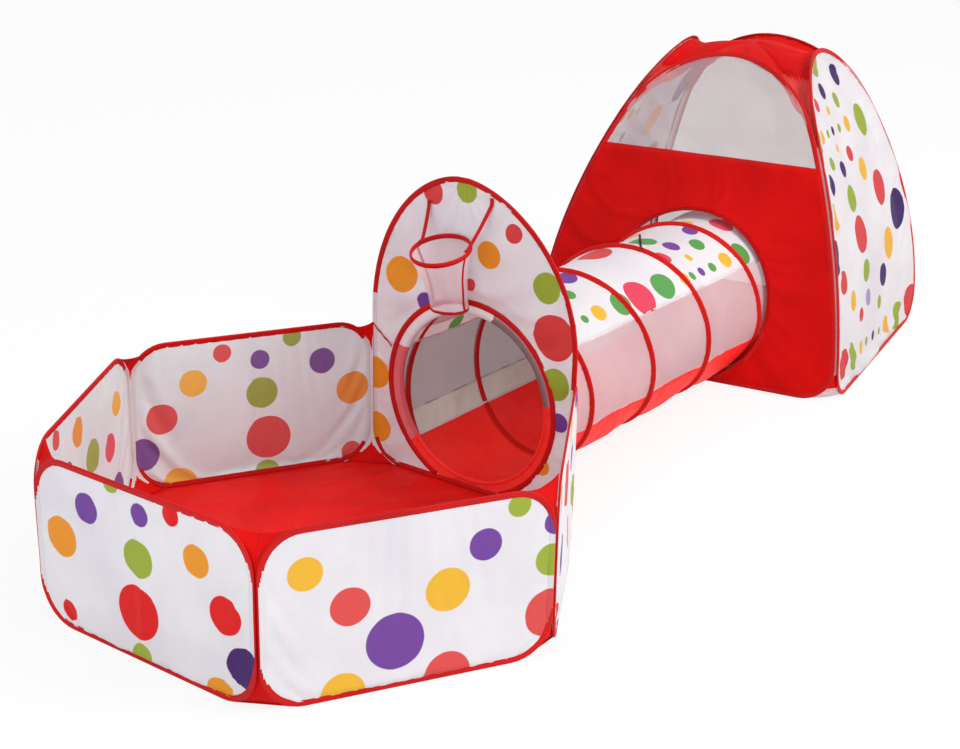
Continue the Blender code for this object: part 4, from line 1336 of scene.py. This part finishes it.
tentDots = {
    "lime": [(-0.062, 0.861, 0.0323), (0.017, 0.754, 0.0214), (0.165, 0.674, 0.0457),
        (-0.039, 0.686, 0.0124), (-0.155, 0.69, 0.0112), (-0.293, 0.689, 0.0309),
        (-0.194, 0.616, 0.0182), (-0.111, 0.503, 0.0376), (-0.076, 0.286, 0.0327),
        (0.054, 0.157, 0.0207), (0.256, 0.054, 0.0462), (0.058, 0.067, 0.0111), (-0.087, 0.079, 0.0131),
        (-0.269, 0.087, 0.0404)],
    "navy": [(0.091, 0.813, 0.0295), (-0.074, 0.792, 0.0217), (-0.1, 0.689, 0.0126),
        (-0.118, 0.586, 0.0224), (-0.256, 0.569, 0.0292), (0.314, 0.379, 0.0617),
        (-0.382, 0.393, 0.0499), (0.105, 0.227, 0.0341), (-0.015, 0.075, 0.0141)],
    "yellow": [(-0.226, 0.822, 0.0276), (-0.085, 0.741, 0.0122), (0.034, 0.685, 0.0224),
        (-0.211, 0.691, 0.0186), (-0.111, 0.643, 0.0113), (0.052, 0.554, 0.0322), (-0.31, 0.492, 0.0368),
        (0.187, 0.303, 0.0479), (-0.226, 0.237, 0.0294), (0.129, 0.066, 0.0268), (-0.151, 0.08, 0.0199),
        (0.019, 0.011, 0.0153), (-0.46, 0.306, 0.0255)],
    "rose": [(-0.163, 0.769, 0.0192)],
    "red": [(-0.018, 0.611, 0.0219), (0.177, 0.475, 0.0522), (-0.091, 0.396, 0.0537),
        (-0.306, 0.31, 0.0333), (0.404, 0.058, 0.0551), (-0.145, 0.174, 0.0209), (-0.377, 0.093, 0.0452)],
    "lilac": [(-0.063, 0.203, 0.025)],
}
# the left side has the right side's dots the other way round, but three of its own near the top
leftDots = {
    ink: [(-w, z, r) for w, z, r in spots if z < 0.55 or w < -0.15] for ink, spots in tentDots.items()
}
leftDots["purple"] = [(-0.192, 0.709, 0.052)]
leftDots["rose"].append((-0.324, 0.619, 0.04))
leftDots["yellow"].append((-0.047, 0.623, 0.05))


def tentHalf(z):
    return tent["base"] - tent["drawIn"] * (z / tent["height"]) ** 2


def tentPlace(outward):
    side = up.cross(outward)

    def place(w, z, n=0.0):
        slope = 2 * tent["drawIn"] * z / tent["height"] ** 2
        facing = (outward + up * slope).normalized()
        away = tentHalf(z) + tent["offset"]
        return tentCentre + tentTurn @ (outward * away + side * w + up * z + facing * n)

    return place


def tentEdge(z):
    return tentHalf(z) - tent["seam"]


def tentRows(steps=44):
    rows = [(tentEdge(z) + w, z) for w, z in cornerRows(0, tent["corner"])]
    rows += climb(tentEdge, tent["corner"], tent["archStart"])
    for k in range(steps + 1):
        part = 0.9993 * math.sin(math.pi / 2 * k / steps)
        z = tent["archStart"] + (tent["height"] - tent["archStart"]) * part
        rows.append((tentEdge(z) * math.sqrt(1 - part ** tent["archPower"]), z))
    return rows


tentPlaces = {name: tentPlace(outward) for name, outward in tentSides.items()}
tentOutline = tentRows()
tentInner = insetRows(tentOutline, tuck)


def tentRelief(half, seed):
    return panelRelief(half, tentInner[0][1], tentInner[-1][1], tent["bow"], seed, tent["rough"])


def addTentPanel(name, side, rows, material, node, slot, port, seed):
    half = max(w for w, _ in rows)
    relief = tentRelief(half * 1.02, seed)
    thickness = 0.0 if material in (backNet, windowNet) else 0.0005
    piece = addPanel(name, rows, tentPlaces[side], relief, [material], 100, port, thickness, tent["slack"])
    settle(piece, "tent", [node])


def buildTentSides():
    line = tent["window"]
    sideLook = {**whiteLook, "through": 0.42}
    white = {
        "right": clothMaterial("tent right dotted cloth", sideLook, tentDots),
        "left": clothMaterial("tent left dotted cloth", sideLook, leftDots),
    }
    for k, (way, cloth) in enumerate(white.items()):
        side = "tent_" + way
        addTentPanel(side + "_cloth", side, tentInner, cloth, side + "_fabric", "white_cloth", None, 31.0 + k)
    back = ("tent_back_fabric", "green_mesh")
    addTentPanel("tent_back_net", "tent_back", tentInner, backNet, *back, None, 33.0)
    lower, upper, port = cutRows(tentInner, 0, line), cutRows(tentInner, line, 1), (axisHeight, tent["port"])
    front, window = ("tent_front_cloth", "red_cloth"), ("tent_front_window", "pale_mesh")
    addTentPanel("tent_front_red_cloth", "tent_front", lower, redCloth, *front, port, 34.0)
    addTentPanel("tent_front_window_net", "tent_front", upper, windowNet, *window, None, 34.0)
    for name, place in tentPlaces.items():
        settle(addSleeve(name + "_tape", tentOutline, place, 40.0), "tent", [name + "_sleeve"])
        settle(addStitches(name + "_stitches", tentOutline, place), "tent")
    rim = addBinding("tent_port_tape", tent["port"], tentPlaces["tent_front"], 25.0, 4.0)
    settle(rim, "tent", ["tent_port_binding"])


def addWindowHem(steps=80):
    # folded hem between the red cloth and the window
    front, line = tentPlaces["tent_front"], tent["window"]
    half = tentEdge(line) - 0.008
    relief = tentRelief(half, 34.0)
    frames = []
    for k in range(steps + 1):
        w = half * (2 * k / steps - 1)
        frames.append((front(w, line, relief(w, line)), *frameAt(front, w, line, 0, 1)[1:]))
    settle(sweepTape("tent_window_hem", frames, roundSection(0.011, 0.0022, 10), False, 0.0004, 5.0), "tent")


def buildRoof():
    rim = []
    for name in ("tent_front", "tent_left", "tent_back", "tent_right"):
        for (w, z), (ow, oz) in zip(*outlineOf(tentOutline)):
            if z > tent["roofEdge"]:
                rim.append(tentPlaces[name](w - ow * 0.007, z - oz * 0.007, -0.0040))
    peak = tentCentre + up * tent["roofTop"]
    shares = [0.0, 0.02, 0.05, 0.09, 0.14, 0.2, 0.28, 0.36, 0.45, 0.54, 0.63, 0.72, 0.81, 0.9]
    points = []
    for share in shares:
        for edge in rim:
            at = edge.lerp(peak, share)
            at.z = edge.z + (peak.z - edge.z) * math.sin(math.pi / 2 * share) ** 1.15
            turn = math.atan2(at.y - tentCentre.y, at.x - tentCentre.x)
            fold = noiseAt(math.cos(turn) * 3, math.sin(turn) * 3, share * 2) * 0.006
            fold += math.sin(turn * 16 + share * 4) * 0.0008
            at = at + up * (fold * math.sin(math.pi * share) ** 0.7)
            at.z = min(at.z, tent["roofTop"] + 0.004)
            points.append(at)
    n, last = len(rim), (len(shares) - 1) * len(rim)
    faces = gridFaces(len(shares), n, False, True)
    faces += [(last + k, last + (k + 1) % n, len(points)) for k in range(n)]
    points.append(peak)
    flat = [(at.x - tentCentre.x, at.y - tentCentre.y) for at in points]

    def pick(polygon):
        return int(polygon.center.z < tent["sheerBelow"])

    roof = addMesh("tent_roof_cloth", points, faces, flat, [redCloth, sheerRed], pick)
    settleCloth(roof, tent["roofSlack"])
    addThickness(roof, 0.0005)
    settle(roof, "tent", ["tent_roof"])


def buildTentCorners():
    order = ("tent_front", "tent_right", "tent_back", "tent_left")
    rows, columns = cornerWeb["rows"], cornerWeb["columns"]
    low, rise = cornerWeb["low"], cornerWeb["high"] - cornerWeb["low"]
    levels = [low + rise * (r / (rows - 1)) ** 1.5 for r in range(rows)]

    def pick(polygon):
        r, c = divmod(polygon.index, columns - 1)
        red = cornerWeb["redLow"] < levels[r] < cornerWeb["redHigh"] and 1 <= c <= columns - 3
        return 0 if red else 1

    for k, first in enumerate(order):
        second = order[(k + 1) % 4]
        points, flat = [], []
        for z in levels:
            rise = max(tent["corner"] - z, 0)
            w = tentEdge(z) - (tent["corner"] - math.sqrt(tent["corner"] ** 2 - rise**2)) - 0.009
            a, b = tentPlaces[first](w, z, -0.002), tentPlaces[second](-w, z, -0.002)
            out = ((a + b) / 2 - tentCentre).normalized()
            out.z = 0
            for c in range(columns):
                s = c / (columns - 1)
                points.append(a.lerp(b, s) + out * (0.10 * (a - b).length * 4 * s * (1 - s)))
                flat.append(((a - b).length * s, z))
        faces = gridFaces(rows, columns)
        corner = addMesh(f"tent_corner_{k + 1}", points, faces, flat, [redCloth, sideNet], pick, 0.0006)
        settle(corner, "tent")


def buildTentFloor():
    half = tent["base"] - 0.004
    levels = [-half + 2 * half * k / 70 for k in range(71)]
    rows = [(half - max(abs(z) - (half - tent["corner"]), 0), z) for z in levels]
    shape = floorRelief(15.0)

    def place(w, z, n=0.0):
        return tentCentre + tentTurn @ Vector((w, z, 0.0012 + n))

    def relief(w, z):
        return shape(w, z) * 0.7 * smoothStep((half - max(abs(w), abs(z))) / 0.05)

    sheet = addPanel("tent_floor_cloth", rows, place, relief, [floorCloth], 70)
    settle(sheet, "tent", ["tent_floor"])


buildTentSides()
addWindowHem()
buildRoof()
buildTentCorners()
buildTentFloor()
print("tent made")
